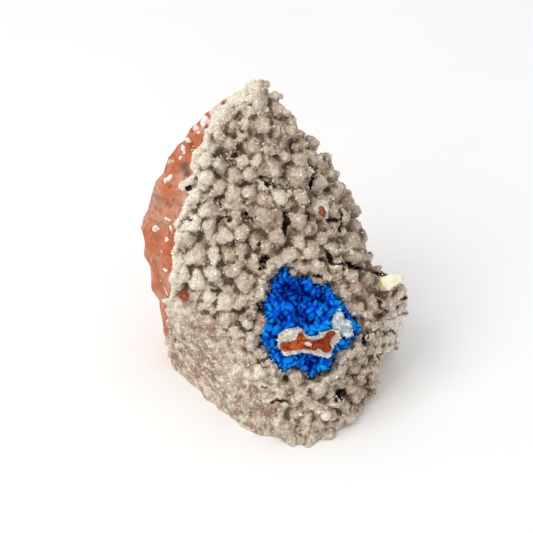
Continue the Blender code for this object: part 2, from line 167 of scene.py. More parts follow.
def put_values(mesh: Mesh, name: str, values: np.ndarray) -> None:
    """Stores one number a vertex under a name that materials read."""
    layer = mesh.attributes.get(name) or mesh.attributes.new(name, "FLOAT", "POINT")
    layer.data.foreach_set("value", np.asarray(values, np.float32))


def read_values(mesh: Mesh, name: str) -> np.ndarray:
    """The numbers that a mesh stores under a name."""
    values = np.empty(len(mesh.vertices), np.float32)
    mesh.attributes[name].data.foreach_get("value", values)
    return values


def relaxed(mesh: Mesh, values: np.ndarray, rounds: int) -> np.ndarray:
    """Averages values over neighbouring vertices several times.

    Args:
        mesh: the mesh whose edges say which vertices are neighbours.
        values: one row a vertex.
        rounds: how often the average is taken.

    Returns:
        The smoothed values.
    """
    ends = np.empty(len(mesh.edges) * 2, np.int32)
    mesh.edges.foreach_get("vertices", ends)
    first, second = ends.reshape(-1, 2).T
    count = len(mesh.vertices)
    degree = np.maximum(np.bincount(first, minlength=count) + np.bincount(second, minlength=count), 1)
    current = values.reshape(count, -1).astype(float)
    for _ in range(rounds):
        total = np.zeros_like(current)
        for column in range(current.shape[1]):
            total[:, column] += np.bincount(first, weights=current[second, column], minlength=count)
            total[:, column] += np.bincount(second, weights=current[first, column], minlength=count)
        current = 0.4 * current + 0.6 * total / degree[:, None]
    return current.reshape(values.shape)


def hollowness(mesh: Mesh, rounds: int, depth: float) -> np.ndarray:
    """How far every vertex lies in a crevice.

    Args:
        mesh: the mesh.
        rounds: how wide the surface is averaged to find its crevices.
        depth: the depth in millimetres that counts as fully in a crevice.

    Returns:
        Values from 0 on the lumps and the open surface to 1 in the crevices.
    """
    points = points_of(mesh)
    above = (relaxed(mesh, points, rounds) - points) * normals_of(mesh)
    return np.clip(above.sum(axis=1) / (depth * MM), -1, 1)


def noise_values(points: np.ndarray, size: float, seed: float) -> np.ndarray:
    """Smooth noise from -1 to 1 at every point.

    Args:
        points: points in metres.
        size: size of one bump, in millimetres.
        seed: a shift that makes another pattern.

    Returns:
        One value a point.
    """
    places = points / (size * MM) + seed
    return np.array([noise.noise(place) for place in places.tolist()])


@dataclass(frozen=True)
class Cells:
    """A pattern of rounded cells, as cobbles and grains have it."""

    size: float
    seed: float
    wobble: float = 0.3
    wobble_scale: float = 1.3
    own_scale: float = 9.7

    def at(self, points: np.ndarray) -> tuple[np.ndarray, np.ndarray, np.ndarray]:
        """The pattern at every point.

        Args:
            points: points in metres.

        Returns:
            How far each point is from its cell's middle and from its cell's border, in cells,
            and a number from -1 to 1 that is its cell's own.
        """
        rows = []
        for place in (points / (self.size * MM) + self.seed).tolist():
            shift = noise.noise_vector([value * self.wobble_scale for value in place]) * self.wobble
            far, middles = noise.voronoi(Vector(place) + shift)
            rows.append((far[0], far[1] - far[0], noise.cell(middles[0] * self.own_scale)))
        middle, border, own = np.array(rows).T
        return middle, border, own


def new_piece(name: str, mesh: Mesh) -> Object:
    """Links a mesh as an object at the origin."""
    mesh.name = name
    piece = bpy.data.objects.new(name, mesh)
    bpy.context.scene.collection.objects.link(piece)
    return piece


def mesh_from(bm: bmesh.types.BMesh, name: str) -> Mesh:
    """Turns a bmesh into a mesh whose faces point outwards."""
    bmesh.ops.recalc_face_normals(bm, faces=bm.faces[:])
    mesh = bpy.data.meshes.new(name)
    bm.to_mesh(mesh)
    bm.free()
    return mesh


def applied(piece: Object) -> Object:
    """Gives a piece the mesh that its modifiers make."""
    bpy.context.view_layer.update()
    graph = bpy.context.evaluated_depsgraph_get()
    mesh = bpy.data.meshes.new_from_object(piece.evaluated_get(graph))
    old = piece.data
    piece.modifiers.clear()
    piece.data = mesh
    bpy.data.meshes.remove(old)
    mesh.name = piece.name
    return piece


def fused(piece: Object, voxel: float) -> Object:
    """Fuses everything in a piece into one skin of even faces, voxel millimetres apart."""
    modifier = piece.modifiers.new("fuse", "REMESH")
    modifier.mode = "VOXEL"
    modifier.voxel_size = voxel * MM
    modifier.use_smooth_shade = True
    return applied(piece)


def cast(bm: bmesh.types.BMesh, name: str, voxel: float) -> Object:
    """Makes a piece of one skin from everything in a bmesh."""
    return fused(new_piece(name, mesh_from(bm, name)), voxel)


def pushed_out(mesh: Mesh, points: np.ndarray, lift: np.ndarray) -> None:
    """Sets vertices at points, each moved out along its normal by its lift in millimetres."""
    move_points(mesh, points + normals_of(mesh) * lift[:, None] * MM)


def surface_of(node: Object) -> BVHTree:
    """An object's surface, for finding what lies against it."""
    return BVHTree.FromPolygons(
        [vert.co for vert in node.data.vertices], [face.vertices[:] for face in node.data.polygons]
    )


def seen_at(tree: BVHTree, across: float, up: float) -> tuple[Vector | None, Vector | None]:
    """The point and the normal of a surface that a look square to the leaning plane meets."""
    return tree.ray_cast(on_plane(across, up, IN_FRONT), -OUT)[:2]


def merged_copy(node: Object) -> bmesh.types.BMesh:
    """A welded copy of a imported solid, whose own triangles are loose."""
    bm = bmesh.new()
    bm.from_mesh(node.data)
    bmesh.ops.remove_doubles(bm, verts=bm.verts, dist=0.002 * MM)
    return bm


@dataclass(frozen=True)
class Stamp:
    """A small shape that is set down many times in one joined mesh."""

    points: np.ndarray
    corners: np.ndarray
    starts: np.ndarray

    @classmethod
    def of(cls, bm: bmesh.types.BMesh) -> Stamp:
        """Reads the shape from a bmesh, which is used up."""
        bmesh.ops.recalc_face_normals(bm, faces=bm.faces[:])
        bm.verts.index_update()
        points = np.array([vert.co[:] for vert in bm.verts])
        loops = [[vert.index for vert in face.verts] for face in bm.faces]
        bm.free()
        sizes = np.array([len(loop) for loop in loops])
        starts = np.concatenate(([0], np.cumsum(sizes)[:-1]))
        return cls(points, np.concatenate([np.array(loop) for loop in loops]), starts)

    @classmethod
    def ball(cls, subdivisions: int) -> Stamp:
        """A unit ball."""
        bm = bmesh.new()
        bmesh.ops.create_icosphere(bm, subdivisions=subdivisions, radius=1.0)
        return cls.of(bm)

    def set_down(self, name: str, places: Sequence[Matrix]) -> Mesh:
        """Joins one copy for every place.

        Args:
            name: the mesh's name.
            places: one 4 by 4 matrix a copy, in metres.

        Returns:
            The joined mesh, with the copy's number of every vertex as attribute "copy".
        """
        count = len(places)
        grid = np.array([matrix[:] for matrix in places], float).reshape(count, 4, 4)
        points = np.einsum("nij,pj->npi", grid[:, :3, :3], self.points) + grid[:, None, :3, 3]
        corners = self.corners[None, :] + (np.arange(count) * len(self.points))[:, None]
        starts = self.starts[None, :] + (np.arange(count) * len(self.corners))[:, None]
        mesh = bpy.data.meshes.new(name)
        mesh.vertices.add(points.shape[0] * points.shape[1])
        mesh.vertices.foreach_set("co", points.astype(np.float32).ravel())
        mesh.loops.add(corners.size)
        mesh.loops.foreach_set("vertex_index", corners.astype(np.int32).ravel())
        mesh.polygons.add(starts.size)
        mesh.polygons.foreach_set("loop_start", starts.astype(np.int32).ravel())
        mesh.update(calc_edges=True)
        mesh.validate()
        put_values(mesh, "copy", np.repeat(np.arange(count), len(self.points)))
        return mesh


def turned_to(axis: Vector, spin: float) -> Matrix:
    """A turn that brings +Z to an axis, after a spin about it."""
    return axis.to_track_quat("Z", "Y").to_matrix().to_4x4() @ Matrix.Rotation(spin, 4, "Z")


def set_at(place: Vector, turn: Matrix, size: Sequence[float]) -> Matrix:
    """What sets down a unit shape at a place, turned, with its three sizes in millimetres."""
    return Matrix.Translation(place) @ turn @ Matrix.Diagonal((*size, 1)) @ Matrix.Scale(MM, 4)


def ball_at(place: Vector, radius: float) -> Matrix:
    """What sets down a unit ball at a place, with its radius in millimetres."""
    return Matrix.Translation(place) @ Matrix.Scale(radius * MM, 4)


def scattered(mesh: Mesh, count: int, dice: random.Random) -> Iterable[tuple[Vector, Vector]]:
    """Random places on a mesh, spread evenly by area.

    Args:
        mesh: the mesh.
        count: how many places.
        dice: the source of chance.

    Yields:
        A point on the mesh and the surface's normal there.
    """
    faces = list(mesh.polygons)
    areas = [face.area for face in faces]
    for face in dice.choices(faces, areas, k=count):
        corners = [mesh.vertices[index].co for index in face.vertices]
        shares = [-math.log(1 - dice.random()) for _ in corners]
        total = sum(shares)
        place = Vector()
        for corner, share in zip(corners, shares):
            place += corner * (share / total)
        yield place, face.normal.copy()


class Spread:
    """Keeps things that are set down apart from each other."""

    def __init__(self, cell: float) -> None:
        """Starts empty; cell is the largest spacing asked for, in metres."""
        self.cell = cell
        self.taken: dict[tuple[int, int, int], list[tuple[Vector, float]]] = {}

    def key(self, place: Vector) -> tuple[int, int, int]:
        """The cell that a place lies in."""
        return tuple(math.floor(value / self.cell) for value in place)

    def take(self, place: Vector, reach: float) -> bool:
        """Takes a place unless another thing is too near.

        Args:
            place: where the new thing goes.
            reach: the room that it takes around it, in metres.

        Returns:
            Whether the place was free.
        """
        x, y, z = self.key(place)
        for i in (x - 1, x, x + 1):
            for j in (y - 1, y, y + 1):
                for k in (z - 1, z, z + 1):
                    for other, room in self.taken.get((i, j, k), ()):
                        if (other - place).length < reach + room:
                            return False
        self.taken.setdefault((x, y, z), []).append((place, reach))
        return True


# Materials


class Graph:
    """A node tree, with short calls to add nodes and join them."""

    def __init__(self, tree: NodeTree, effects: Effects | None = None) -> None:
        """Wraps a new tree; effects holds the shared groups that a material's tree uses."""
        self.tree = tree
        self.effects = effects

    def add(self, kind: str, **settings: object) -> Node:
        """Adds a node and sets its properties by name."""
        node = self.tree.nodes.new(kind)
        for name, value in settings.items():
            setattr(node, name, value)
        return node

    def feed(self, socket: NodeSocket, value: object) -> None:
        """Joins another node's output to a socket, or sets the socket's own value."""
        if isinstance(value, NodeSocket):
            self.tree.links.new(value, socket)
        elif isinstance(value, tuple) and len(value) == 3 and socket.type == "RGBA":
            socket.default_value = (*value, 1.0)
        else:
            socket.default_value = value

    def mixed(self, factor: object, first: object, second: object) -> NodeSocket:
        """A colour between two colours."""
        node = self.add("ShaderNodeMix", data_type="RGBA")
        self.feed(node.inputs[0], factor)
        self.feed(node.inputs[6], first)
        self.feed(node.inputs[7], second)
        return node.outputs[2]

    def between(self, factor: object, first: object, second: object) -> NodeSocket:
        """A number between two numbers."""
        node = self.add("ShaderNodeMix", data_type="FLOAT")
        self.feed(node.inputs[0], factor)
        self.feed(node.inputs[2], first)
        self.feed(node.inputs[3], second)
        return node.outputs[0]

    def sum_of(self, operation: str, first: object, second: object = 0.0) -> NodeSocket:
        """The result of one arithmetic step."""
        node = self.add("ShaderNodeMath", operation=operation)
        self.feed(node.inputs[0], first)
        self.feed(node.inputs[1], second)
        return node.outputs[0]

    def times(self, first: object, second: object) -> NodeSocket:
        """The product of two numbers."""
        return self.sum_of("MULTIPLY", first, second)

    def stepped(self, value: object, low: object, high: object) -> NodeSocket:
        """A mask that rises smoothly from 0 at low to 1 at high."""
        node = self.add("ShaderNodeMapRange", interpolation_type="SMOOTHSTEP")
        self.feed(node.inputs["Value"], value)
        self.feed(node.inputs["From Min"], low)
        self.feed(node.inputs["From Max"], high)
        return node.outputs["Result"]

    def stored(self, name: str) -> NodeSocket:
        """A number that the mesh stores under a name."""
        return self.add("ShaderNodeAttribute", attribute_name=name).outputs["Fac"]

    def placed(self, group: NodeTree, **values: object) -> NodeSocket:
        """Places a shared effect with its own values, and gives its first output."""
        node = self.add("ShaderNodeGroup", node_tree=group)
        for name, value in values.items():
            self.feed(node.inputs[name], value)
        return node.outputs[0]

    def patches(self, size: float, low: float, high: float, shift: float = 0.0) -> NodeSocket:
        """Soft-edged patches, size millimetres wide, as a mask."""
        return self.placed(self.effects.patches, Size=size, Low=low, High=high, Shift=shift)

    def stained(self, colour: object, stains: dict[str, Colour]) -> NodeSocket:
        """Lays colours over a colour, each by the number that is stored under its name."""
        for name, stain in stains.items():
            colour = self.mixed(self.stored(name), colour, stain)
        return colour

    def coat(
        self, shader: Node, colour: object, mask: object, roughness: tuple[float, float],
        specular: float = 0.5,
    ) -> None:
        """Feeds a shader its colour, and a roughness between two values by a mask."""
        self.feed(shader.inputs["Base Color"], colour)
        self.feed(shader.inputs["Roughness"], self.between(mask, *roughness))
        shader.inputs["Specular IOR Level"].default_value = specular

    def relief(self, shader: Node, coarse: float, fine: float, depth: float) -> None:
        """Roughens a shader's surface.

        Args:
            shader: the shader.
            coarse: size of the larger unevenness, in millimetres.
            fine: size of the grains, in millimetres.
            depth: how deep it goes, in millimetres.
        """
        bump = self.add("ShaderNodeBump")
        bump.inputs["Distance"].default_value = depth * MM
        bump.inputs["Strength"].default_value = 1.0
        self.feed(bump.inputs["Height"], self.placed(self.effects.relief, Coarse=coarse, Fine=fine))
        self.feed(shader.inputs["Normal"], bump.outputs["Normal"])


class Effects:
    """The node groups that several finishes share."""

    grain_share = 0.4
    noise_roughness = 0.6

    def __init__(self) -> None:
        """Builds every shared group once."""
        self.patches = self._patches()
        self.relief = self._relief()

    def _group(self, name: str, inputs: dict[str, float], output: str) -> tuple[Graph, dict]:
        """Starts a group.

        Args:
            name: the group's name.
            inputs: its number inputs and their usual values.
            output: the name of its one output.

        Returns:
            The group's graph, and its input sockets and output socket by name.
        """
        tree = bpy.data.node_groups.new(name, "ShaderNodeTree")
        for socket, value in inputs.items():
            made = tree.interface.new_socket(socket, in_out="INPUT", socket_type="NodeSocketFloat")
            made.default_value = value
        tree.interface.new_socket(output, in_out="OUTPUT", socket_type="NodeSocketFloat")
        graph = Graph(tree)
        sockets = {item.name: item for item in graph.add("NodeGroupInput").outputs if item.name}
        sockets["result"] = graph.add("NodeGroupOutput").inputs[0]
        return graph, sockets

    def _noise(self, graph: Graph, size: object, detail: float, shift: object) -> NodeSocket:
        """Layered noise on the piece's own coordinates."""
        place = graph.add("ShaderNodeVectorMath", operation="ADD")
        graph.feed(place.inputs[0], graph.add("ShaderNodeTexCoord").outputs["Object"])
        graph.feed(place.inputs[1], shift)
        made = graph.add("ShaderNodeTexNoise")
        graph.feed(made.inputs["Vector"], place.outputs[0])
        graph.feed(made.inputs["Scale"], graph.sum_of("DIVIDE", 1.0 / MM, size))
        made.inputs["Detail"].default_value = detail
        made.inputs["Roughness"].default_value = self.noise_roughness
        return made.outputs["Fac"]

    def _patches(self) -> NodeTree:
        """Soft-edged patches of one size, as a mask."""
        inputs = {"Size": 4.0, "Low": 0.45, "High": 0.6, "Shift": 0.0}
        graph, sockets = self._group("patches", inputs, "Mask")
        value = self._noise(graph, sockets["Size"], 3.0, sockets["Shift"])
        graph.feed(sockets["result"], graph.stepped(value, sockets["Low"], sockets["High"]))
        return graph.tree

    def _relief(self) -> NodeTree:
        """Fine height at two sizes: grains, and the unevenness under them."""
        inputs = {"Coarse": 1.2, "Fine": 0.3, "Fine Share": self.grain_share}
        graph, sockets = self._group("relief", inputs, "Height")
        coarse = self._noise(graph, sockets["Coarse"], 2.0, (0.11, 0.0, 0.0))
        fine = self._noise(graph, sockets["Fine"], 1.0, (0.23, 0.0, 0.0))
        graph.feed(sockets["result"], graph.between(sockets["Fine Share"], coarse, fine))
        return graph.tree


@dataclass(frozen=True)
class Finish:
    """One finish: its fields are its colours."""

    title: ClassVar[str] = "plain"

    def paint(self, graph: Graph, shader: Node) -> None:
        """Adds the nodes that feed the shader."""
        raise NotImplementedError

    def material(self, effects: Effects) -> Material:
        """The finished material."""
        made = bpy.data.materials.new(self.title)
        made.use_nodes = True
        self.paint(Graph(made.node_tree, effects), made.node_tree.nodes["Principled BSDF"])
        return made


@dataclass(frozen=True)
class CrustFinish(Finish):
    """The grey-beige, sugary crust: cream on its rims, with painted shade, brown to nearly black, in its
    crevices and clefts.
    """

    title: ClassVar[str] = "sugary crust"
    beige: Colour = (0.50, 0.40, 0.30)
    warm: Colour = (0.35, 0.24, 0.17)
    light: Colour = (0.74, 0.65, 0.52)
    # Cream: the crust's own on its rims and in patches, and painted highlight on convex crests.
    cream: Colour = (0.90, 0.84, 0.70)
    green: Colour = (0.40, 0.38, 0.22)
    brown: Colour = (0.26, 0.135, 0.085)
    # Painted shade: brown in shallow crevices, nearly black in deep clefts.
    shade: Colour = (0.17, 0.105, 0.068)
    shaded_cleft: Colour = (0.022, 0.014, 0.010)
    chalk: Colour = (0.93, 0.91, 0.88)

    def paint(self, graph: Graph, shader: Node) -> None:
        """Layers the crust's colours."""
        large = graph.patches(7.0, 0.42, 0.62)
        middle = graph.patches(2.0, 0.42, 0.62, 0.31)
        tinge = graph.patches(1.4, 0.42, 0.6, 0.47)
        fine = graph.patches(0.45, 0.36, 0.62, 0.13)
        speck = graph.patches(0.8, 0.52, 0.66, 0.59)
        colour = graph.mixed(large, self.beige, self.warm)
        colour = graph.mixed(graph.times(middle, 0.6), colour, self.light)
        green = graph.times(graph.stored("green"), graph.between(tinge, 0.35, 0.9))
        colour = graph.mixed(green, colour, self.green)
        colour = graph.stained(colour, {"brown": self.brown, "cream": self.cream, "chalk": self.chalk})
        colour = graph.mixed(graph.times(fine, 0.55), colour, self.warm)
        colour = graph.mixed(graph.times(speck, 0.7), colour, self.cream)
        # Painted shade in the crevices and clefts, by the stored share.
        shaded_cleft = graph.stored("shaded_cleft")
        colour = graph.mixed(graph.stepped(shaded_cleft, 0.0, 0.5), colour, self.shade)
        colour = graph.mixed(graph.stepped(shaded_cleft, 0.45, 1.0), colour, self.shaded_cleft)
        graph.coat(shader, colour, fine, (0.5, 0.85), 0.3)
        graph.relief(shader, 0.7, 0.22, 0.22)


@dataclass(frozen=True)
class DruseFinish(Finish):
    """The tiny crystals on the crust: they take its colour, a little lighter and glossier."""

    title: ClassVar[str] = "druse crystals"
    dull: Colour = (0.32, 0.235, 0.165)
    bright: Colour = (0.86, 0.78, 0.64)
    brown: Colour = (0.24, 0.13, 0.085)
    # Painted shade for crystals in the crust's clefts; the cream carries the crust's own cream and its
    # painted highlight.
    shaded_cleft: Colour = (0.07, 0.05, 0.035)
    cream: Colour = (0.86, 0.80, 0.66)

    def paint(self, graph: Graph, shader: Node) -> None:
        """Gives every crystal its own tone, with the crust's stains, painted shade and painted highlight.
        """
        colour = graph.mixed(graph.stored("tone"), self.dull, self.bright)
        colour = graph.stained(colour, {"brown": self.brown, "cream": self.cream, "shaded_cleft": self.shaded_cleft})
        graph.coat(shader, colour, graph.patches(0.4, 0.3, 0.7), (0.16, 0.4), 0.6)


@dataclass(frozen=True)
class GlintFinish(Finish):
    """Small clear crystals that catch the light as white points, and give off painted light of their own.
    """

    title: str = "glinting crystals"
    white: Colour = (0.97, 0.97, 0.95)
    grey: Colour = (0.80, 0.80, 0.78)
    shine: float = 0.3
    # Emission strength: painted light, so the crystals shine white though they are no lamp.
    painted_glow: float = 0.3

    def paint(self, graph: Graph, shader: Node) -> None:
        """White with a glassy coat, and painted light given off by the crystals."""
        patch = graph.patches(0.8, 0.4, 0.6)
        graph.coat(shader, graph.mixed(patch, self.white, self.grey), patch, (0.08, 0.2), 0.8)
        shader.inputs["Metallic"].default_value = self.shine
        # Painted light: the crystals give off white light of their own.
        shader.inputs["Emission Color"].default_value = (1.0, 1.0, 1.0, 1.0)
        shader.inputs["Emission Strength"].default_value = self.painted_glow


@dataclass(frozen=True)
class BasaltFinish(Finish):
    """The red-brown basalt: rusty red, dusted pink, with dark grains, a grey smudge, and painted shade in
    its hollows, in its pits and under the crust.
    """

    title: ClassVar[str] = "red-brown basalt"
    red: Colour = (0.50, 0.135, 0.055)
    dusty: Colour = (0.58, 0.31, 0.215)
    dark: Colour = (0.16, 0.045, 0.022)
    smudge: Colour = (0.085, 0.085, 0.085)
    chalk: Colour = (0.74, 0.62, 0.56)
    # Painted shade under the crust.
    under: Colour = (0.022, 0.014, 0.010)

    def paint(self, graph: Graph, shader: Node) -> None:
        """Layers the basalt's colours."""
        large = graph.patches(9.0, 0.40, 0.60, 0.05)
        grain = graph.patches(0.9, 0.48, 0.66, 0.37)
        chalk = graph.patches(2.4, 0.60, 0.68, 0.71)
        fine = graph.patches(0.35, 0.35, 0.7, 0.19)
        colour = graph.mixed(large, self.red, self.dusty)
        colour = graph.mixed(graph.times(grain, 0.5), colour, self.dark)
        colour = graph.mixed(graph.times(fine, 0.3), colour, self.dusty)
        colour = graph.mixed(graph.times(chalk, graph.stored("dust")), colour, self.chalk)
        # Painted shade: the stain for hollows and pits darkens them, and the stain under the crust makes
        # the rock nearly black there.
        stains = {"burnt": self.dark, "streaks": self.chalk, "smudge": self.smudge, "shaded_cleft": self.dark}
        colour = graph.stained(colour, {**stains, "under": self.under})
        graph.coat(shader, colour, fine, (0.75, 0.95), 0.2)
        graph.relief(shader, 0.9, 0.25, 0.12)


@dataclass(frozen=True)
class BubbleFinish(Finish):
    """The white filling of the basalt's old gas bubbles, with pink at the edges."""

    title: ClassVar[str] = "bubble filling"
    white: Colour = (0.80, 0.75, 0.72)
    pink: Colour = (0.62, 0.42, 0.36)

    def paint(self, graph: Graph, shader: Node) -> None:
        """White, stained in spots."""
        stain = graph.patches(0.9, 0.48, 0.68)
        graph.coat(shader, graph.mixed(stain, self.white, self.pink), stain, (0.5, 0.75))
        graph.relief(shader, 0.6, 0.2, 0.06)


@dataclass(frozen=True)
class BlueFinish(Finish):
    """Cavansite: clear blue on the crystals, with painted shade in navy deep between them and painted
    highlight in cyan at their tips.
    """

    title: ClassVar[str] = "cavansite blue"
    # Navy is painted shade, also laid in faint random streaks; the cyan is painted highlight.
    navy: Colour = (0.001, 0.012, 0.26)
    blue: Colour = (0.003, 0.145, 0.88)
    sky_highlight: Colour = (0.007, 0.40, 0.93)
    gloss: Colour = (0.12, 0.45, 1.0)

    def paint(self, graph: Graph, shader: Node) -> None:
        """Paints each crystal dark at its foot and light near its tip, as painted shade and painted
        highlight.
        """
        # Painted light and shade on the faces: each face is lighter or darker at random.
        facet = graph.times(graph.stored("facet"), 0.2)
        colour = graph.mixed(graph.sum_of("ADD", graph.stored("rise"), facet), self.navy, self.blue)
        colour = graph.mixed(graph.sum_of("ADD", graph.stored("painted_highlight"), facet), colour, self.sky_highlight)
        streak = graph.patches(0.5, 0.4, 0.65)
        colour = graph.mixed(graph.times(streak, 0.25), colour, self.navy)
        graph.coat(shader, colour, streak, (0.22, 0.42), 0.3)
        shader.inputs["Specular Tint"].default_value = (*self.gloss, 1.0)
        graph.relief(shader, 0.5, 0.18, 0.03)


@dataclass(frozen=True)
class RimFinish(Finish):
    """The white to cream rim around the broken core."""

    title: ClassVar[str] = "white rim"
    cream: Colour = (0.58, 0.50, 0.39)
    white: Colour = (0.80, 0.77, 0.71)
    tan: Colour = (0.38, 0.30, 0.22)
    frost: Colour = (0.42, 0.52, 0.58)

    def paint(self, graph: Graph, shader: Node) -> None:
        """Cream with whiter and tan patches."""
        large = graph.patches(1.6, 0.42, 0.58)
        small = graph.patches(0.6, 0.50, 0.66, 0.2)
        colour = graph.mixed(large, self.white, self.cream)
        colour = graph.mixed(graph.times(small, 0.75), colour, self.tan)
        cold = graph.patches(0.5, 0.56, 0.62, 0.55)
        colour = graph.mixed(graph.times(cold, 0.6), colour, self.frost)
        graph.coat(shader, colour, small, (0.45, 0.7))
        graph.relief(shader, 0.6, 0.2, 0.10)


@dataclass(frozen=True)
class CoreFinish(Finish):
    """The orange-red rock of the broken core and of the chips in the crust."""

    title: ClassVar[str] = "core rock"
    orange: Colour = (0.56, 0.115, 0.016)
    red: Colour = (0.34, 0.040, 0.010)
    dark: Colour = (0.050, 0.012, 0.006)
    burnt: Colour = (0.20, 0.016, 0.003)

    def paint(self, graph: Graph, shader: Node) -> None:
        """Orange, mottled with red and dark grains."""
        large = graph.patches(1.5, 0.42, 0.60)
        small = graph.patches(0.7, 0.50, 0.64, 0.3)
        colour = graph.mixed(large, self.orange, self.red)
        burnt = graph.stored("burnt")
        colour = graph.mixed(graph.times(small, 0.7), colour, self.dark)
        colour = graph.mixed(burnt, colour, self.burnt)
        grains = graph.stepped(graph.times(burnt, small), 0.25, 0.7)
        colour = graph.mixed(grains, colour, self.dark)
        graph.coat(shader, colour, small, (0.6, 0.9), 0.2)
        graph.relief(shader, 0.7, 0.2, 0.14)


@dataclass(frozen=True)
class PaleFinish(Finish):
    """The pale yellow broken crystal, with a white and brown chip along its lower right."""

    title: ClassVar[str] = "pale broken crystal"
    yellow: Colour = (0.80, 0.75, 0.46)
    cream: Colour = (0.88, 0.85, 0.70)
    brown: Colour = (0.20, 0.085, 0.045)

    def paint(self, graph: Graph, shader: Node) -> None:
        """Yellow with cream patches, and the stored chip."""
        large = graph.patches(2.2, 0.45, 0.6)
        small = graph.patches(0.6, 0.42, 0.58, 0.3)
        colour = graph.mixed(large, self.yellow, self.cream)
        colour = graph.mixed(graph.stored("pale"), colour, self.cream)
        chip = graph.times(graph.stored("chip"), graph.between(small, 1.0, 0.55))
        graph.coat(shader, graph.mixed(chip, colour, self.brown), small, (0.28, 0.45))
        shader.inputs["Subsurface Weight"].default_value = 0.15
        shader.inputs["Subsurface Radius"].default_value = (0.001, 0.0008, 0.0005)
        graph.relief(shader, 0.8, 0.2, 0.05)


@dataclass(frozen=True)
class PearlFinish(Finish):
    """The small smooth bead, cream with a faint pink side."""

    title: ClassVar[str] = "smooth bead"
    cream: Colour = (0.78, 0.72, 0.60)
    pink: Colour = (0.62, 0.48, 0.40)

    def paint(self, graph: Graph, shader: Node) -> None:
        """Two soft shades under a half-gloss surface."""
        patch = graph.patches(1.4, 0.42, 0.62)
        graph.coat(shader, graph.mixed(patch, self.cream, self.pink), patch, (0.3, 0.5))
        graph.relief(shader, 0.5, 0.2, 0.03)


@dataclass(frozen=True)
class PaperFinish(Finish):
    """The plain pale floor."""

    title: ClassVar[str] = "plain floor"
    white: Colour = (0.96, 0.96, 0.96)
    shade: Colour = (0.94, 0.94, 0.94)

    def paint(self, graph: Graph, shader: Node) -> None:
        """Nearly white, with a faint cloudiness."""
        cloud = graph.patches(80.0, 0.3, 0.7)
        graph.feed(shader.inputs["Base Color"], graph.mixed(cloud, self.white, self.shade))
        shader.inputs["Roughness"].default_value = 0.9


WHITE_CRYSTALS = GlintFinish("white crystals", (0.88, 0.86, 0.80), (0.62, 0.57, 0.48), 0.0, 0.0)
FROSTY_CRYSTALS = GlintFinish("frosty crystals", (0.80, 0.80, 0.77), (0.36, 0.47, 0.52), 0.0, 0.0)
CHIP_ROCK = CoreFinish((0.36, 0.095, 0.04), (0.27, 0.055, 0.025), (0.07, 0.02, 0.01))


class Slot(Enum):
    """The record's material slots."""

    MATRIX = "matrix"
    CRUST = "crust"
    CAVANSITE = "cavansite"
    CORE = "core_stub"
    PALE = "pale_crystal"
    BEAD = "bead"


def fit_in(piece: Object, slot: Slot, material: Material, replaces: bool = True) -> None:
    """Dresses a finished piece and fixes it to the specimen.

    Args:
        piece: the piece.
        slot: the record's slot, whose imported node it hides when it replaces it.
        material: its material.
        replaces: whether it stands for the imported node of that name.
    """
    piece.data.materials.clear()
    piece.data.materials.append(material)
    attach(piece, "root")
    if replaces:
        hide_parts(slot.value)
    triangles = sum(len(face.vertices) - 2 for face in piece.data.polygons)
    LOG.info("%s: %d triangles", piece.name, triangles)


def each(kind: type, *rows: tuple[float, ...]) -> tuple:
    """Makes one thing of a kind from every row of numbers."""
    return tuple(kind(*row) for row in rows)


@dataclass(frozen=True)
class Spot:
    """A round patch on the face, across and up the leaning plane."""

    across: float
    up: float
    radius: float
    strength: float = 1.0

    def weight(self, across: np.ndarray, up: np.ndarray) -> np.ndarray:
        """How strongly the patch covers each place."""
        far = ((across - self.across) ** 2 + (up - self.up) ** 2) / self.radius**2
        return self.strength * np.exp(-(far**1.5))


def total_weight(spots: Iterable[Spot], across: np.ndarray, up: np.ndarray) -> np.ndarray:
    """How strongly some patches cover each place, added up."""
    return sum(spot.weight(across, up) for spot in spots)


def top_weight(spots: Iterable[Spot], across: np.ndarray, up: np.ndarray) -> np.ndarray:
    """How strongly the strongest of some patches covers each place."""
    return np.max([spot.weight(across, up) for spot in spots], axis=0)


@dataclass(frozen=True)
class Cleft:
    """A cave or slit between the crust's lumps, sunk into it and painted dark as shade."""

    across: float
    up: float
    half_width: float
    half_height: float
    depth: float
    turn: float = 0.0

    def weight(self, across: np.ndarray, up: np.ndarray) -> np.ndarray:
        """How deep each place lies in the cleft, from 0 at its edge to 1."""
        angle = math.radians(self.turn)
        x = (across - self.across) * math.cos(angle) + (up - self.up) * math.sin(angle)
        y = (up - self.up) * math.cos(angle) - (across - self.across) * math.sin(angle)
        far = (x / self.half_width) ** 2 + (y / self.half_height) ** 2
        return np.clip(1 - far, 0, 1)


@dataclass(frozen=True)
class Knobs:
    """The crust's large lumps: places across and up the face, each with a radius, in millimetres."""

    places: tuple[tuple[float, float, float], ...]
    wobble: float = 0.55

    def at(self, points: np.ndarray) -> tuple[np.ndarray, np.ndarray, np.ndarray]:
        """The lumps' pattern at every point.

        Args:
            points: points in metres.

        Returns:
            How far each point is from its lump's middle and from the next lump, in radii, and the
            number of its lump.
        """
        across, up, _ = plane_places(points)
        across = across + self.wobble * noise_values(points, 1.9, 2.1)
        up = up + self.wobble * noise_values(points, 1.9, 7.7)
        near = np.full(len(points), FAR)
        second = near.copy()
        own = np.zeros(len(points))
        for number, (x, y, radius) in enumerate(self.places):
            far = np.hypot(across - x, up - y) / radius
            closer = far < near
            second = np.where(closer, near, np.minimum(second, far))
            own[closer] = number
            near = np.minimum(near, far)
        return near, second - near, own


@dataclass(frozen=True)
class Pebble:
    """One filled gas bubble: its place, half its length and width, and how it lies."""

    across: float
    up: float
    long: float
    wide: float
    turn: float


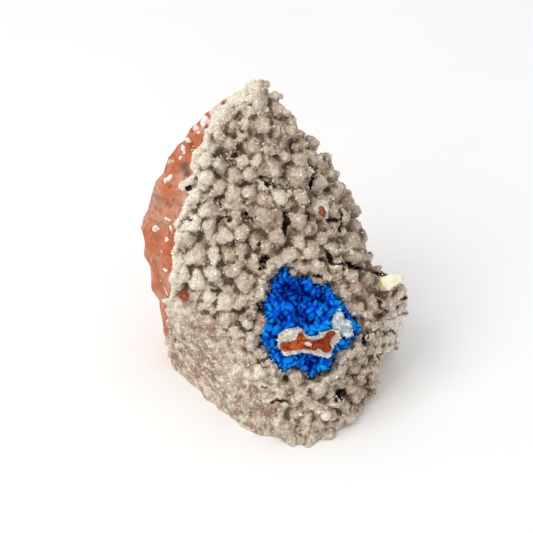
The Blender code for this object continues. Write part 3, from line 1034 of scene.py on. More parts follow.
@dataclass
class Basalt:
    """The red-brown rock, with the filled gas bubbles in its broken faces."""

    seed: int = 5
    voxel: float = 0.5
    grain: float = 0.16
    smudges: tuple[Spot, ...] = each(
        Spot, (-19.9, 61.4, 1, 0.9), (-19.3, 59.7, 0.8, 0.95), (-26.5, 54, 1.8, 0.3),
    )
    dusty_above: float = 62.0
    pebbles: tuple[Pebble, ...] = each(
        Pebble, (-23.7, 58.8, 1.5, 0.72, 28), (-23.8, 49.9, 1.35, 0.62, -6), (-26.4, 47.9, 1.2, 0.75, 40),
        (-23.1, 47.7, 0.9, 0.45, -60), (-19.2, 67, 1.05, 0.6, 10), (-18, 65.8, 1.5, 0.5, 38),
        (-20.2, 65, 1.1, 0.5, -70), (-20.9, 63.3, 0.5, 0.35, 30), (-16.7, 68.8, 0.85, 0.35, 30),
        (-15.6, 71.1, 1.4, 0.8, 50), (-10, 75.5, 0.6, 0.5, 0), (-11.9, 73.2, 1.2, 0.35, 42),
        (-7.5, 77.6, 0.6, 0.3, 40), (-24.2, 45.3, 0.8, 0.55, 40), (-24.6, 38.5, 0.75, 0.5, 20),
        (-25.4, 42.4, 0.5, 0.3, 60), (-26, 36, 0.6, 0.25, 70), (-24.6, 33.5, 0.9, 0.3, 75),
        (-23.6, 24.9, 2, 0.35, -70), (-22, 20.9, 1.2, 0.3, -60), (-23.4, 27.9, 0.6, 0.4, 60),
        (-20.6, 17.6, 0.9, 0.25, -50), (-22.8, 22.4, 0.7, 0.25, -65),
    )
    bubbles: int = 120
    bubble_tries: int = 2600
    bubble_sizes: tuple[float, ...] = (0.45, 0.6, 0.8, 1.0, 1.3)
    bubble_height: float = 0.35
    bubble_growth: float = 1.12
    clear_of_crust: float = 2.2
    overlap: float = 7.0
    streaks_from: float = 68.0
    streaks_to: float = 76.0
    burnt_from: float = 71.0

    def build(self, node: Object, crust: BVHTree) -> Object:
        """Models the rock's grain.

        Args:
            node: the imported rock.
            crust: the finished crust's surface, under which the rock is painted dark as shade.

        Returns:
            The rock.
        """
        rock = cast(merged_copy(node), "basalt", self.voxel)
        mesh = rock.data
        points = points_of(mesh)
        normals = normals_of(mesh)
        rough = noise_values(points, 2.6, 3.1) + 0.6 * noise_values(points, 1.1, 7.7)
        pitted = np.clip(noise_values(points, 1.5, 11.3) - 0.28, 0, 1)
        open_air = np.clip((points[:, 2] / MM - 0.3) / 1.5, 0, 1)
        inward = (0.5 * self.grain * (1.6 - rough) + 0.5 * pitted) * open_air
        points -= normals * inward[:, None] * MM
        points[:, 2] = np.maximum(points[:, 2], 0)
        move_points(mesh, points)
        across, up, _ = plane_places(points)
        # Painted shade in the hollows and pits.
        put_values(mesh, "shaded_cleft", np.clip(hollowness(mesh, 12, 0.35), 0, 1) * 0.6 + 0.5 * pitted)
        put_values(mesh, "dust", np.clip((up - self.dusty_above) / 8 + 0.5, 0.35, 1.0))
        top = np.clip((up - self.streaks_from) / 3, 0, 1)
        streaks = top * np.clip(noise_values(points, 1.5, 5.2) * 5 + 0.3, 0, 0.85)
        put_values(mesh, "streaks", streaks * np.clip((self.streaks_to - up) / 1.5, 0, 1))
        spots = np.clip(noise_values(points, 1.1, 8.2) * 5 + 0.7, 0, 1)
        put_values(mesh, "burnt", np.clip((up - self.burnt_from) / 4, 0, 1) * spots)
        put_values(mesh, "smudge", total_weight(self.smudges, across, up))
        # Painted shade: finds where the crust lies over the rock, which is painted nearly black there.
        hits = [
            crust.ray_cast(Vector(place) + Vector(normal) * 0.1 * MM, Vector(normal), self.overlap * MM)[0]
            for place, normal in zip(points, normals)
        ]
        put_values(mesh, "under", np.array([hit is not None for hit in hits], float))
        return rock

    def build_bubbles(self, rock: Object, crust: BVHTree) -> Object:
        """Sets the white bubble fillings into the rock's open faces.

        Args:
            rock: the finished rock.
            crust: the crust's surface, which the fillings keep clear of.

        Returns:
            All fillings as one piece.
        """
        dice = random.Random(self.seed)
        tree = surface_of(rock)
        spread = Spread(4 * MM)
        places: list[Matrix] = []
        for pebble in self.pebbles:
            place, normal = seen_at(tree, pebble.across, pebble.up)
            if place is not None and spread.take(place, pebble.wide * MM):
                angle = math.radians(pebble.turn)
                along = ACROSS * math.cos(angle) + UP * math.sin(angle)
                places.append(self._filling(place, normal, along, pebble.long, pebble.wide))
        for place, normal in scattered(rock.data, self.bubble_tries, dice):
            if len(places) >= self.bubbles:
                break
            long = dice.choice(self.bubble_sizes)
            shown = normal.dot(OUT) > 0.15
            covered = crust.find_nearest(place, self.clear_of_crust * MM)[0] is not None
            if covered or shown or place.z < 2 * MM or not spread.take(place, long * 1.3 * MM):
                continue
            along = Vector([dice.uniform(-1, 1) for _ in range(3)])
            places.append(self._filling(place, normal, along, long, long * dice.uniform(0.4, 0.8)))
        mesh = Stamp.ball(3).set_down("bubble_fillings", places)
        mesh.shade_smooth()
        points = points_of(mesh)
        lift = 0.16 * noise_values(points, 0.8, 2.9) + 0.06 * noise_values(points, 0.35, 5.9)
        pushed_out(mesh, points, lift)
        return new_piece("bubble_fillings", mesh)

    def _filling(self, place: Vector, normal: Vector, along: Vector, long: float, wide: float) -> Matrix:
        """The place of one filling: a flattened pebble sunk into the surface.

        Args:
            place: a point on the rock.
            normal: the rock's normal there.
            along: roughly the filling's long direction.
            long: half its length in millimetres.
            wide: half its width in millimetres.

        Returns:
            The matrix that sets a unit ball down as the filling.
        """
        heading = (along - normal * along.dot(normal)).normalized()
        turn = Matrix((heading, normal.cross(heading), normal)).transposed().to_4x4()
        high = wide * self.bubble_height
        size = (long * self.bubble_growth, wide * self.bubble_growth, high)
        return set_at(place - normal * high * 0.5 * MM, turn, size)


@dataclass
class Crust:
    """The crust with its large and small lumps, its curled rim and its clefts."""

    seed: int = 11
    voxel: float = 0.33
    most_triangles: int = 192000
    shrink: float = 0.55
    smoothing: int = 16
    seam_depth: float = 0.38
    seam_width: float = 0.2
    flat_share: float = 0.85
    calm_share: float = 0.75
    calm_below: float = 13.0
    shade_limit: float = 0.62
    rim_step: float = 0.3
    deep_rim_above: float = 68.0
    round_lumps: tuple[float, ...] = (0.8, 0.95, 1.15, 1.4)
    small_lumps: tuple[float, ...] = (0.45, 0.6, 0.75, 0.95)
    lump_tries: int = 40000
    lump_room: float = 0.78
    grain: float = 0.13
    swell: float = 1.95
    knobs: Knobs = Knobs((
        (0.1, 76.8, 1.8), (-7.7, 75.8, 1.5), (-3.7, 74.9, 2.3), (1.4, 73.9, 2), (-6.1, 72.4, 1.8),
        (-10.7, 71.7, 1.7), (-6.6, 70, 1.3), (-2.5, 69.6, 2.2), (-9.2, 69.2, 1.6), (4.5, 68.8, 1.8),
        (7.9, 68.4, 1.7), (-11.8, 67.3, 1.4), (-7.5, 67.3, 1.3), (8.6, 66.4, 1.5), (6, 66, 1.7),
        (-9.8, 65.8, 1.7), (-5.2, 65.4, 1.9), (-14.2, 65, 1.5), (12.2, 64.8, 1.7), (-9.2, 63.3, 1.4),
        (2.2, 63.1, 1.5), (10.5, 62.9, 1.8), (8.3, 62.9, 1.4), (5.4, 62.6, 2), (-15.2, 62.2, 2.1),
        (-4.1, 62.2, 1.5), (-7.1, 61.8, 1.9), (-12, 61.4, 1.8), (-0.8, 60.3, 2.5), (13.6, 59.9, 1.7),
        (-5.8, 59.2, 1.7), (5, 59.2, 2.3), (-8.4, 59, 2), (-14.9, 58.4, 2.1), (9.4, 58, 2.3),
        (15.3, 57.6, 2.1), (-2.3, 56.9, 1.5), (-12.2, 56.1, 1.7), (-5.8, 55.4, 1.7), (13.6, 55.4, 1.7),
        (-9.2, 54.6, 2.3), (1.1, 54.4, 2.1), (-17.3, 53.9, 2), (6, 53.9, 1.8), (16.6, 53.9, 1.7),
        (-2, 53.5, 2.1), (10.5, 52.3, 2.5), (-14.7, 51.6, 2), (12.8, 51.6, 1.7), (15.3, 50.1, 1.9),
        (-2.3, 49.9, 3.2), (5.4, 49.1, 2.3), (-9.2, 48.9, 2.2), (18.1, 48.2, 1.7), (-18.1, 48.2, 2.2),
        (7.9, 47.8, 2), (-14.7, 47.8, 1.7), (-7.3, 46.7, 2.3), (-10.7, 46.3, 2.3), (0.3, 45.5, 2.2),
        (10.2, 45.5, 1.8), (-4.6, 45.1, 1.7), (17.4, 45.1, 3), (-19, 45.1, 2), (5.4, 44.4, 1.7),
        (-2, 43.6, 1.9), (12.4, 42.9, 1.9), (8.3, 42.9, 2.1), (-7.7, 42.9, 1.7), (3.3, 41.7, 1.7),
        (18.1, 41.7, 2.3), (-17.1, 41.7, 2.6), (-13.3, 41.7, 2.1), (-10.3, 41.7, 2), (-22.8, 40.8, 2.1),
        (13.9, 39.8, 1.7), (-4.2, 39.5, 1.7), (9.4, 38.7, 2.3), (-9.5, 38.3, 2), (6, 37.9, 1.6),
        (-13.9, 37.6, 2), (-20.5, 37.2, 2.2), (17.4, 37.2, 1.7), (21.1, 36.8, 1.7), (-17.1, 36, 2.5),
        (-6.9, 35.9, 2.1), (18.5, 34.2, 2.4), (12, 33.4, 1.7), (-14.1, 33, 1.9), (15.1, 32.6, 2.7),
        (-10.7, 31.9, 2.7), (-7.7, 31.5, 1.7), (22.7, 30.7, 2.3), (18.1, 30, 2.3), (14.7, 28.1, 1.9),
        (-5.9, 27.6, 1.4), (-6.1, 27.3, 1.9), (-10.7, 27.3, 2.3), (-3.2, 26.5, 1.6), (18.5, 26.2, 1.7),
        (-9, 24.9, 1.8), (23.3, 24, 1.2), (21.5, 23.6, 1.5), (18.7, 23.2, 1.4), (23, 22.8, 2.7),
        (25, 22.6, 1.6), (-5.2, 21.8, 1.5), (-9, 21.6, 2.2), (21.3, 20.8, 1.8), (18.5, 20.6, 1.2),
        (23.3, 20.4, 1.5), (25.2, 20, 1.4), (16.6, 19.8, 1.2), (14.6, 19.2, 1.6), (-5, 18.7, 1.4),
        (19.9, 18.1, 1.4), (-3.7, 16.6, 1.3), (18.1, 16.5, 1.7), (15, 16.5, 1.1), (22.7, 15.9, 1.2),
        (20.9, 15.7, 1.8), (13, 15.1, 1.4), (-1.2, 14.8, 1.3), (-5.9, 14.2, 1.8), (16.6, 13.9, 0.9),
        (22.3, 13.9, 1.1), (6.8, 13.9, 1.1), (19.7, 13.4, 1.5), (8.3, 13, 1.2), (22.1, 12.2, 1),
        (17, 11.8, 1.4), (1.5, 11.7, 1.9), (9.9, 11.4, 1.7), (-5.9, 11, 1.7), (-2.8, 11, 1.3),
        (12.5, 10.8, 1.3), (20.1, 10.6, 1.5), (5.6, 10.4, 1.2), (0.9, 10.2, 1.2), (18.3, 9.2, 1.2),
        (3.5, 8.8, 1.3), (13.6, 8.8, 1.5), (3.6, 8.8, 1.6), (8.1, 8.6, 1.6), (15.8, 7.7, 1.4),
        (1.3, 6.3, 1.6), (1.1, 6.1, 1.8), (4.6, 6.1, 1.4), (13, 5.7, 1.3), (7.2, 4.9, 1.4),
        (9.9, 3.9, 1.4),
    ))
    cobbles: Cells = Cells(4.4, 4.7)
    grains: Cells = Cells(1.25, 9.1)
    facet: tuple[Point, ...] = (
        (-25, 32), (-19, 30), (-12, 26), (-6, 19), (1, 14), (3, 8), (-2, 0), (-14, -2), (-30, 12),
    )
    wreath: tuple[Point, ...] = (
        (2.5, 39.4), (3.7, 37), (6.3, 36.6), (7.9, 37), (8.6, 35.2), (11.9, 35), (13.8, 32.6),
        (15.3, 30.9), (16.6, 28.4), (19, 26.2), (19.3, 25.2), (17.6, 23.2), (16.2, 21.6), (13.8, 20.4),
        (12.8, 18.6), (12.2, 16.4), (9, 15.3), (7.9, 14.5), (6.9, 16), (4.6, 17.3), (2.9, 16.6),
        (2.3, 15.6), (0.8, 17.6), (-1.1, 18.9), (-1.1, 20.6), (-2.8, 22.4), (-2.9, 25), (-0.6, 26),
        (-2.4, 28.2), (-2.5, 31.1), (-0.9, 33.6), (-0.4, 36.4), (1, 37.8),
    )
    rim: tuple[Point, ...] = (
        (-5.8, 78.4), (-7.5, 76.9), (-9, 75.9), (-10.3, 74.6), (-11.8, 73.7), (-13.3, 72.3),
        (-14, 71.1), (-13.8, 70.2), (-14.3, 69.3), (-15.5, 68.6), (-15.2, 66.8), (-15.7, 65.2),
        (-17.5, 64.3), (-18, 63.4), (-18.4, 61.2), (-17.5, 59.8), (-19.3, 57.8), (-21.1, 56.7),
        (-20, 56.3), (-18, 55.3), (-18, 54.7), (-19.8, 53.3), (-20, 51.5), (-21.1, 50.2),
        (-22, 48.4), (-21.6, 47.1), (-21.9, 44.6), (-22.7, 42.4), (-22.2, 39.6), (-23, 36.4),
        (-22.8, 34.2), (-23.6, 32),
    )
    # Up, and how far across the crust reaches there
    right_side: tuple[Point, ...] = (
        (2.5, 16.6), (5.5, 19.2), (7.7, 20.3), (9.9, 22.3), (12.1, 23.6), (13.4, 23.8), (18.2, 23.7),
        (19.8, 25.2), (20.6, 40), (36.2, 40), (37.2, 24.9), (38.5, 23.1), (39.8, 21.3), (41.4, 22.5),
        (42, 40), (63.5, 40), (64.2, 12.2), (66.2, 10.2), (67.3, 8.6), (68.2, 6.1), (69.5, 4),
        (71.5, 3.6), (72.5, 2.6), (74.1, 1.1), (76.8, 0.5), (79.4, 0),
    )
    crown: tuple[tuple[float, float, float], ...] = (
        (-5.6, 78.2, 0.8), (-4.4, 78.6, 1), (-3, 78.7, 1), (-1.9, 78.5, 0.9), (-3.8, 77.6, 1.2),
    )
    shoulder: tuple[tuple[float, float, float, float], ...] = (
        (28, 32.9, 2.4, 1.2), (28.9, 33.6, 2.4, 0.9), (28.9, 32.2, 1.8, 1.1), (27.2, 32, 2, 1.3),
        (26.2, 32.9, 2.4, 0.9),
    )
    toe: float = 1.0
    clefts: tuple[Cleft, ...] = each(
        Cleft, (-2, 58, 2, 0.8, 2.2, -35), (7.9, 58.1, 0.6, 3, 2.2, -19),
        (2.3, 48.7, 0.7, 3.4, 1.6), (14.6, 49.3, 0.45, 3, 1.6, 6), (11.8, 41.6, 0.7, 2.8, 2, 27),
        (-2.4, 40.9, 1, 0.9, 2), (-2.5, 39, 0.6, 0.6, 1.4), (7.1, 50.4, 0.45, 1.2, 1.2, 10),
        (2.9, 56, 1.1, 0.3, 0.8), (-5.4, 49.6, 1.8, 0.45, 1.2, -30), (-3.5, 43.8, 0.35, 1.7, 1),
        (17, 39.2, 4.4, 0.7, 2, -12), (24.6, 37.6, 2.8, 0.7, 1.4, -14), (10.7, 63.3, 0.5, 0.7, 1),
        (9.3, 37.2, 1.5, 0.5, 1.4, -25), (-18.8, 56.5, 1.5, 0.45, 1.4, 8),
        (-16.8, 52.5, 0.4, 1.6, 0.9, -15), (-19.2, 49.6, 1.5, 0.4, 0.9, 12),
        (-8.8, 63.2, 1.4, 0.6, 1.4, 40), (-11, 49.8, 1.9, 0.5, 1.4, 15), (-11.7, 53.3, 0.5, 1.4, 1.2),
        (-7.4, 68.4, 0.9, 0.4, 0.9, -40), (20.3, 23.1, 0.7, 2.2, 1.8), (14.7, 10.6, 1.9, 1.3, 1.8, 30),
        (-3.5, 29.9, 1, 0.8, 1.4, -30), (-13, 34, 1.8, 0.5, 1, -20),
        (0.6, 9.3, 2.2, 0.5, 1.2, 10), (-2.4, 12.6, 1.4, 0.4, 0.8), (29.2, 32.3, 0.5, 0.45, 1.2),
        (27.7, 30.3, 0.35, 0.6, 1), (27.3, 33.8, 2, 0.6, 0.8, 37), (3.6, 65.5, 0.5, 1.3, 1),
        (23.4, 31, 0.5, 1.8, 1.2, 20),
    )
    browns: tuple[Spot, ...] = each(
        Spot, (-14.7, 23.6, 3, 0.7), (-15.8, 17.4, 2.4, 0.8), (-12.8, 13.9, 1.6, 0.7),
        (-6.2, 13.9, 1.6, 0.8), (2.2, 11.2, 2.4, 0.5), (-6.4, 8.4, 2.2, 0.45), (-0.7, 61, 2.2, 0.95),
        (3.8, 65.8, 1.4, 0.7), (-4, 50.4, 1.4, 0.5), (7.2, 46.9, 1.9, 0.75), (15, 36.5, 2.6, 0.35),
        (19.5, 33, 3, 0.3), (12.5, 13.5, 2.2, 0.4), (26.2, 33, 0.9, 1), (27.4, 33.9, 0.9, 1),
        (28.7, 34.9, 0.8, 1), (-3.6, 26.8, 1.6, 0.4), (8.6, 54.4, 1.4, 0.5),
    )
    creams: tuple[Spot, ...] = each(
        Spot, (-17.5, 38, 4.6, 0.75), (-14.6, 31.2, 3.4, 0.6), (-17, 49.5, 3.6, 0.8),
        (-14.6, 62, 3.4, 0.6), (-4.8, 73.8, 4, 0.5), (2.6, 55, 2.2, 0.35), (9.2, 59.4, 2.6, 0.3),
        (-5, 24.8, 2.4, 0.35), (-21.8, 28.6, 2.6, 0.5), (-3.8, 16.2, 1.6, 0.5), (13.2, 20.2, 2, 0.35),
        (5.4, 4, 4, 0.3), (29.4, 24.2, 4.2, 1.2), (28.4, 18, 3, 0.8),
    )
    greens: tuple[Spot, ...] = each(
        Spot, (-9.2, 52.3, 2.8, 0.9), (2.2, 65.6, 1.6, 0.7), (6, 62.2, 2.6, 0.5), (0.7, 70.2, 1.5, 0.7),
        (16.2, 57.6, 2.4, 0.5), (-6.1, 67.9, 1.4, 0.7), (21.5, 16.9, 1.6, 0.6), (-19.6, 29.9, 1.8, 0.7),
        (-22.3, 29.7, 1.2, 0.6), (-13.8, 13.3, 1.4, 0.6), (-13.1, 11.7, 1, 0.5), (0.5, 5.4, 2.2, 0.4),
        (17.6, 60.6, 1.4, 0.5), (-10, 19.4, 1.6, 0.4),
    )
    # Whitish patches: the first three, with the last two cream spots, make the crust pale along its right
    # edge.
    chalks: tuple[Spot, ...] = each(
        Spot, (28.8, 26.2, 3.2, 1.4), (28.8, 21.6, 3.2, 1.4), (27, 17, 2.4, 0.9),
        (-9, 12, 1.8, 0.3), (10.6, 52.4, 2.1, 0.75),
    )

    def build(self, node: Object, rock: BVHTree, wreath: Wreath) -> Object:
        """Models the crust.

        Args:
            node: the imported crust.
            rock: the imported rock's surface, which lies behind the crust.
            wreath: the wreath, up to whose outline the crust grows.

        Returns:
            The crust, with its colours' shares stored on its vertices.
        """
        dice = random.Random(self.seed)
        solid = mesh_from(merged_copy(node), "crust solid")
        self._shrink(solid, rock)
        skin = self._joined([solid])
        self._reshape(skin.data)
        self._swell(skin.data)
        surface = surface_of(skin)
        base = skin.data
        bpy.data.objects.remove(skin)
        places = self._lumps(base, rock, dice)
        sphere = Stamp.ball(2)
        crust = self._joined([base, sphere.set_down("lumps", places)])
        self._trim(crust.data)
        edges = [*self._rims(surface, rock, dice), *self._collar(wreath, dice), *self._crown(surface)]
        rims = sphere.set_down("rims", edges)
        crust = self._joined([crust.data, rims])
        self._carve(crust.data)
        self._tint(crust.data)
        return self._thinned(crust)

    def _thinned(self, crust: Object) -> Object:
        """Thins the flatter parts of the finished skin, so that it stays under most_triangles."""
        triangles = sum(len(face.vertices) - 2 for face in crust.data.polygons)
        modifier = crust.modifiers.new("thin", "DECIMATE")
        modifier.ratio = min(1.0, self.most_triangles / triangles)
        return applied(crust)

    def _reshape(self, mesh: Mesh) -> None:
        """Brings the right side in to its measured outline, and the foot's front edge out."""
        points = points_of(mesh)
        across, up, _ = plane_places(points)
        edge = np.array(self.right_side)
        limit = np.interp(up, edge[:, 0], edge[:, 1], left=NO_LIMIT, right=NO_LIMIT)
        beyond = np.maximum(across - limit, 0)
        points -= np.array(ACROSS) * beyond[:, None] * MM
        low = np.clip(1 - points[:, 2] / (7 * MM), 0, 1) * np.clip((12 - np.abs(across - 2)) / 6, 0, 1)
        forward = low * np.clip(-points[:, 1] / MM / 8, 0, 1) * self.toe
        points[:, 1] -= forward * MM
        move_points(mesh, points)

    def _swell(self, mesh: Mesh) -> None:
        """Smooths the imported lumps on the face, and swells the large lumps out of it."""
        points = points_of(mesh)
        facing = np.clip(normals_of(mesh) @ np.array(OUT) * 3, 0, 1)
        points += (relaxed(mesh, points, self.smoothing) - points) * facing[:, None]
        move_points(mesh, points)
        across, up, _ = plane_places(points)
        middle, border, _ = self.knobs.at(points)
        known = facing * np.clip((1.6 - middle) / 0.4, 0, 1)
        seam = self.seam_depth * np.exp(-((border / self.seam_width) ** 2))
        lift = known * (0.5 - np.minimum(middle, 1.3) ** 2 - seam)
        middle, border, _ = self.cobbles.at(points)
        lift += (1 - known) * (0.35 - middle**2 - 0.3 * np.exp(-((border / 0.08) ** 2)))
        calm = np.clip(1 - up / self.calm_below, 0, 1) * np.clip((14 - across) / 4, 0, 1) * facing
        flat = self.flat_share * self._flatness(across, up) * facing
        lift *= self.swell * (1 - flat) * (1 - self.calm_share * calm)
        open_air = np.clip((points[:, 2] / MM - 0.4) / 2, 0, 1)
        lift *= np.clip(self._from_rim(across, up) / 1.5, 0.3, 1) * open_air
        points += normals_of(mesh) * lift[:, None] * MM
        points[:, 2] = np.maximum(points[:, 2], 0)
        move_points(mesh, points)

    def _crown(self, surface: BVHTree) -> list[Matrix]:
        """Places the few lumps that make the tip, and those under the pale crystal."""
        places = []
        for across, up, radius in self.crown:
            below = seen_at(surface, across + 1.2, up - 2.2)[0]
            if below is not None:
                places.append(ball_at(on_plane(across, up, plane_place(below)[2] - 0.6), radius))
        for across, up, out, radius in self.shoulder:
            places.append(ball_at(on_plane(across, up, out), radius))
        return places

    def _collar(self, wreath: Wreath, dice: random.Random) -> list[Matrix]:
        """Places the lumps that close up to the wreath's outline."""
        places = []
        corners = [Vector(corner) for corner in wreath.outline]
        for start, end in zip(corners, corners[1:] + corners[:1]):
            outward = Vector((start.y - end.y, end.x - start.x)).normalized()
            for _ in range(round((end - start).length / self.rim_step)):
                away = dice.uniform(0.6, 3.0)
                spot = start.lerp(end, dice.random()) + outward * away
                if inside(wreath.outline, *spot):
                    continue
                radius = dice.uniform(0.5, 1.25)
                wave = noise.noise(Vector((*spot, 0.0)) * 0.45)
                level = wreath.floor(*spot) + dice.uniform(-0.3, 1.3) + 0.7 * away + 1.6 * wave
                places.append(ball_at(on_plane(*spot, level - radius * 0.3), radius))
        return places

    def _depth(self, points: np.ndarray) -> np.ndarray:
        """How deep a cleft is at each point, in millimetres, with uneven edges."""
        across, up, _ = plane_places(points)
        across = across + 0.9 * noise_values(points, 1.7, 2.3) + 0.45 * noise_values(points, 0.8, 6.9)
        up = up + 0.9 * noise_values(points, 1.7, 8.3) + 0.45 * noise_values(points, 0.8, 3.9)
        depth = np.zeros(len(points))
        for shaded_cleft in self.clefts:
            depth = np.maximum(depth, shaded_cleft.weight(across, up) ** 0.7 * shaded_cleft.depth)
        return depth

    def _joined(self, parts: Sequence[Mesh]) -> Object:
        """Fuses several meshes, which are used up, into one skin."""
        joined = bmesh.new()
        for part in parts:
            joined.from_mesh(part)
            bpy.data.meshes.remove(part)
        body = bpy.data.meshes.new("druse_crust")
        joined.to_mesh(body)
        joined.free()
        return fused(new_piece("druse_crust", body), self.voxel)

    def _shrink(self, mesh: Mesh, rock: BVHTree) -> None:
        """Draws the open faces in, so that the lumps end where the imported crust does."""
        points = points_of(mesh)
        normals = normals_of(mesh)
        depth = np.zeros(len(points))
        low = np.clip(points[:, 2] / (6 * MM), 0.2, 1)
        for index, (place, normal) in enumerate(zip(points, normals)):
            start = Vector(place) + Vector(normal) * 0.05 * MM
            if rock.ray_cast(start, Vector(normal), 1.5 * MM)[0] is None:
                depth[index] = self.shrink
        across, up, _ = plane_places(points)
        depth *= low * (1 - self._flatness(across, up))
        points -= normals * depth[:, None] * MM
        points[:, 2] = np.maximum(points[:, 2], 0)
        move_points(mesh, points)

    def covered(self, place: Vector, normal: Vector, rock: BVHTree) -> bool:
        """Whether a place on the crust lies against the rock, on the foot or in the hollow."""
        if place.z < 0.7 * MM and normal.z < -0.5:
            return True
        if rock.ray_cast(place + normal * 0.01 * MM, normal, 2.2 * MM)[0] is not None:
            return True
        across, up, _ = plane_place(place)
        return normal.dot(OUT) > -0.2 and inside(self.wreath, across, up)

    def _lumps(self, base: Mesh, rock: BVHTree, dice: random.Random) -> list[Matrix]:
        """Places the small lumps on the open faces, but not in the crevices between large ones."""
        spread = Spread(2 * max(self.round_lumps) * MM)
        spots = list(scattered(base, self.lump_tries, dice))
        points = np.array([place[:] for place, _ in spots])
        across, up, _ = plane_places(points)
        normals = np.array([normal[:] for _, normal in spots])
        facing = normals @ np.array(OUT) > 0.1
        flat = (self._flatness(across, up) > 0) & facing
        crevice = (self.knobs.at(points)[1] < 0.13) & facing
        crevice |= (self.cobbles.at(points)[1] < 0.06) & ~facing
        crevice |= self._depth(points) > 0.3
        crevice |= (self._from_rim(across, up) < 1.5) & facing
        places = []
        for index, (place, normal) in enumerate(spots):
            if crevice[index] and not flat[index]:
                continue
            radius = dice.choice(self.round_lumps if across[index] < -5 else self.small_lumps)
            if not spread.take(place, radius * self.lump_room * MM):
                continue
            if self.covered(place, normal, rock):
                continue
            stand = radius * (dice.uniform(0.1, 0.25) if flat[index] else dice.uniform(0.18, 0.5))
            size = [radius * dice.uniform(0.85, 1.15) for _ in range(3)]
            turn = turned_to(normal, dice.uniform(0, math.tau))
            places.append(set_at(place + normal * (stand - radius) * MM, turn, size))
        return places

    def _trim(self, mesh: Mesh) -> None:
        """Cuts the crust back to its rim along the rock's red face."""
        points = points_of(mesh)
        across, up, _ = plane_places(points)
        edges = np.array(self.rim)[::-1]
        least = np.interp(up, edges[:, 1], edges[:, 0]) + 0.25
        within = (up > edges[0, 1]) & (up < edges[-1, 1]) & (across < least)
        points += np.array(ACROSS) * np.where(within, least - across, 0)[:, None] * MM
        move_points(mesh, points)

    def _rims(self, surface: BVHTree, rock: BVHTree, dice: random.Random) -> list[Matrix]:
        """Places the rounded ribbon that curls over the rock's red face, three deep near the tip."""
        places = []
        for (x0, y0), (x1, y1) in zip(self.rim, self.rim[1:]):
            length = math.hypot(x1 - x0, y1 - y0)
            steps = max(1, round(length / self.rim_step))
            thick = dice.uniform(0.6, 0.95)
            for step in range(steps):
                share = step / steps
                up = y0 + (y1 - y0) * share
                for row in range(3 if up > self.deep_rim_above else 1):
                    across = x0 + (x1 - x0) * share + thick * 0.8 + row * 1.1
                    spot = (across + 0.6, up - 0.5 * row)
                    place = seen_at(surface, *spot)[0] or seen_at(rock, *spot)[0]
                    if place is None:
                        continue
                    radius = thick * (1 + 0.2 * math.sin(up * 2.1))
                    centre = on_plane(across, up - 0.5 * row, plane_place(place)[2] + 0.35)
                    places.append(ball_at(centre, radius))
        return places

    def _carve(self, mesh: Mesh) -> None:
        """Sinks the clefts and the seams between cobbles, and roughens the surface."""
        points = points_of(mesh)
        normals = normals_of(mesh)
        across, up, _ = plane_places(points)
        facing = np.clip(normals @ np.array(OUT) * 3 + 0.5, 0, 1)
        flat = self._flatness(across, up) * facing
        depth = self._depth(points) * facing
        rim = np.clip(1 - self._from_rim(across, up) / 1.6, 0, 1)
        strong = (1 - 0.75 * flat) * (1 - 0.8 * rim)
        middle, border, _ = self.grains.at(points)
        grain = 0.26 * (0.35 - middle**2) - 0.05 * np.exp(-((border / 0.12) ** 2))
        lift = (0.4 + 0.6 * strong) * grain
        rough = noise_values(points, 0.9, 5.2) + 1.2 * noise_values(points, 0.5, 9.4)
        lift += self.grain * rough * (1 - 0.6 * rim)
        open_air = np.clip((points[:, 2] / MM - 0.4) / 1.5, 0, 1)
        points += normals * (lift * open_air)[:, None] * MM - np.array(OUT) * depth[:, None] * MM
        points[:, 2] = np.maximum(points[:, 2], 0)
        # The depth share also sets the painted shade in the clefts.
        put_values(mesh, "deep", depth / max(shaded_cleft.depth for shaded_cleft in self.clefts))
        move_points(mesh, points)

    def _flatness(self, across: np.ndarray, up: np.ndarray) -> np.ndarray:
        """1 on the flatter lower left, 0 elsewhere."""
        places = zip(across.tolist(), up.tolist())
        return np.array([float(inside(self.facet, x, y)) for x, y in places])

    def _from_rim(self, across: np.ndarray, up: np.ndarray) -> np.ndarray:
        """Distance from the rim along the red face, in millimetres."""
        nearest = np.full(len(across), FAR)
        for (x0, y0), (x1, y1) in zip(self.rim, self.rim[1:]):
            long = (x1 - x0) ** 2 + (y1 - y0) ** 2
            share = np.clip(((across - x0) * (x1 - x0) + (up - y0) * (y1 - y0)) / long, 0, 1)
            gap = np.hypot(across - x0 - share * (x1 - x0), up - y0 - share * (y1 - y0))
            nearest = np.minimum(nearest, gap)
        return nearest

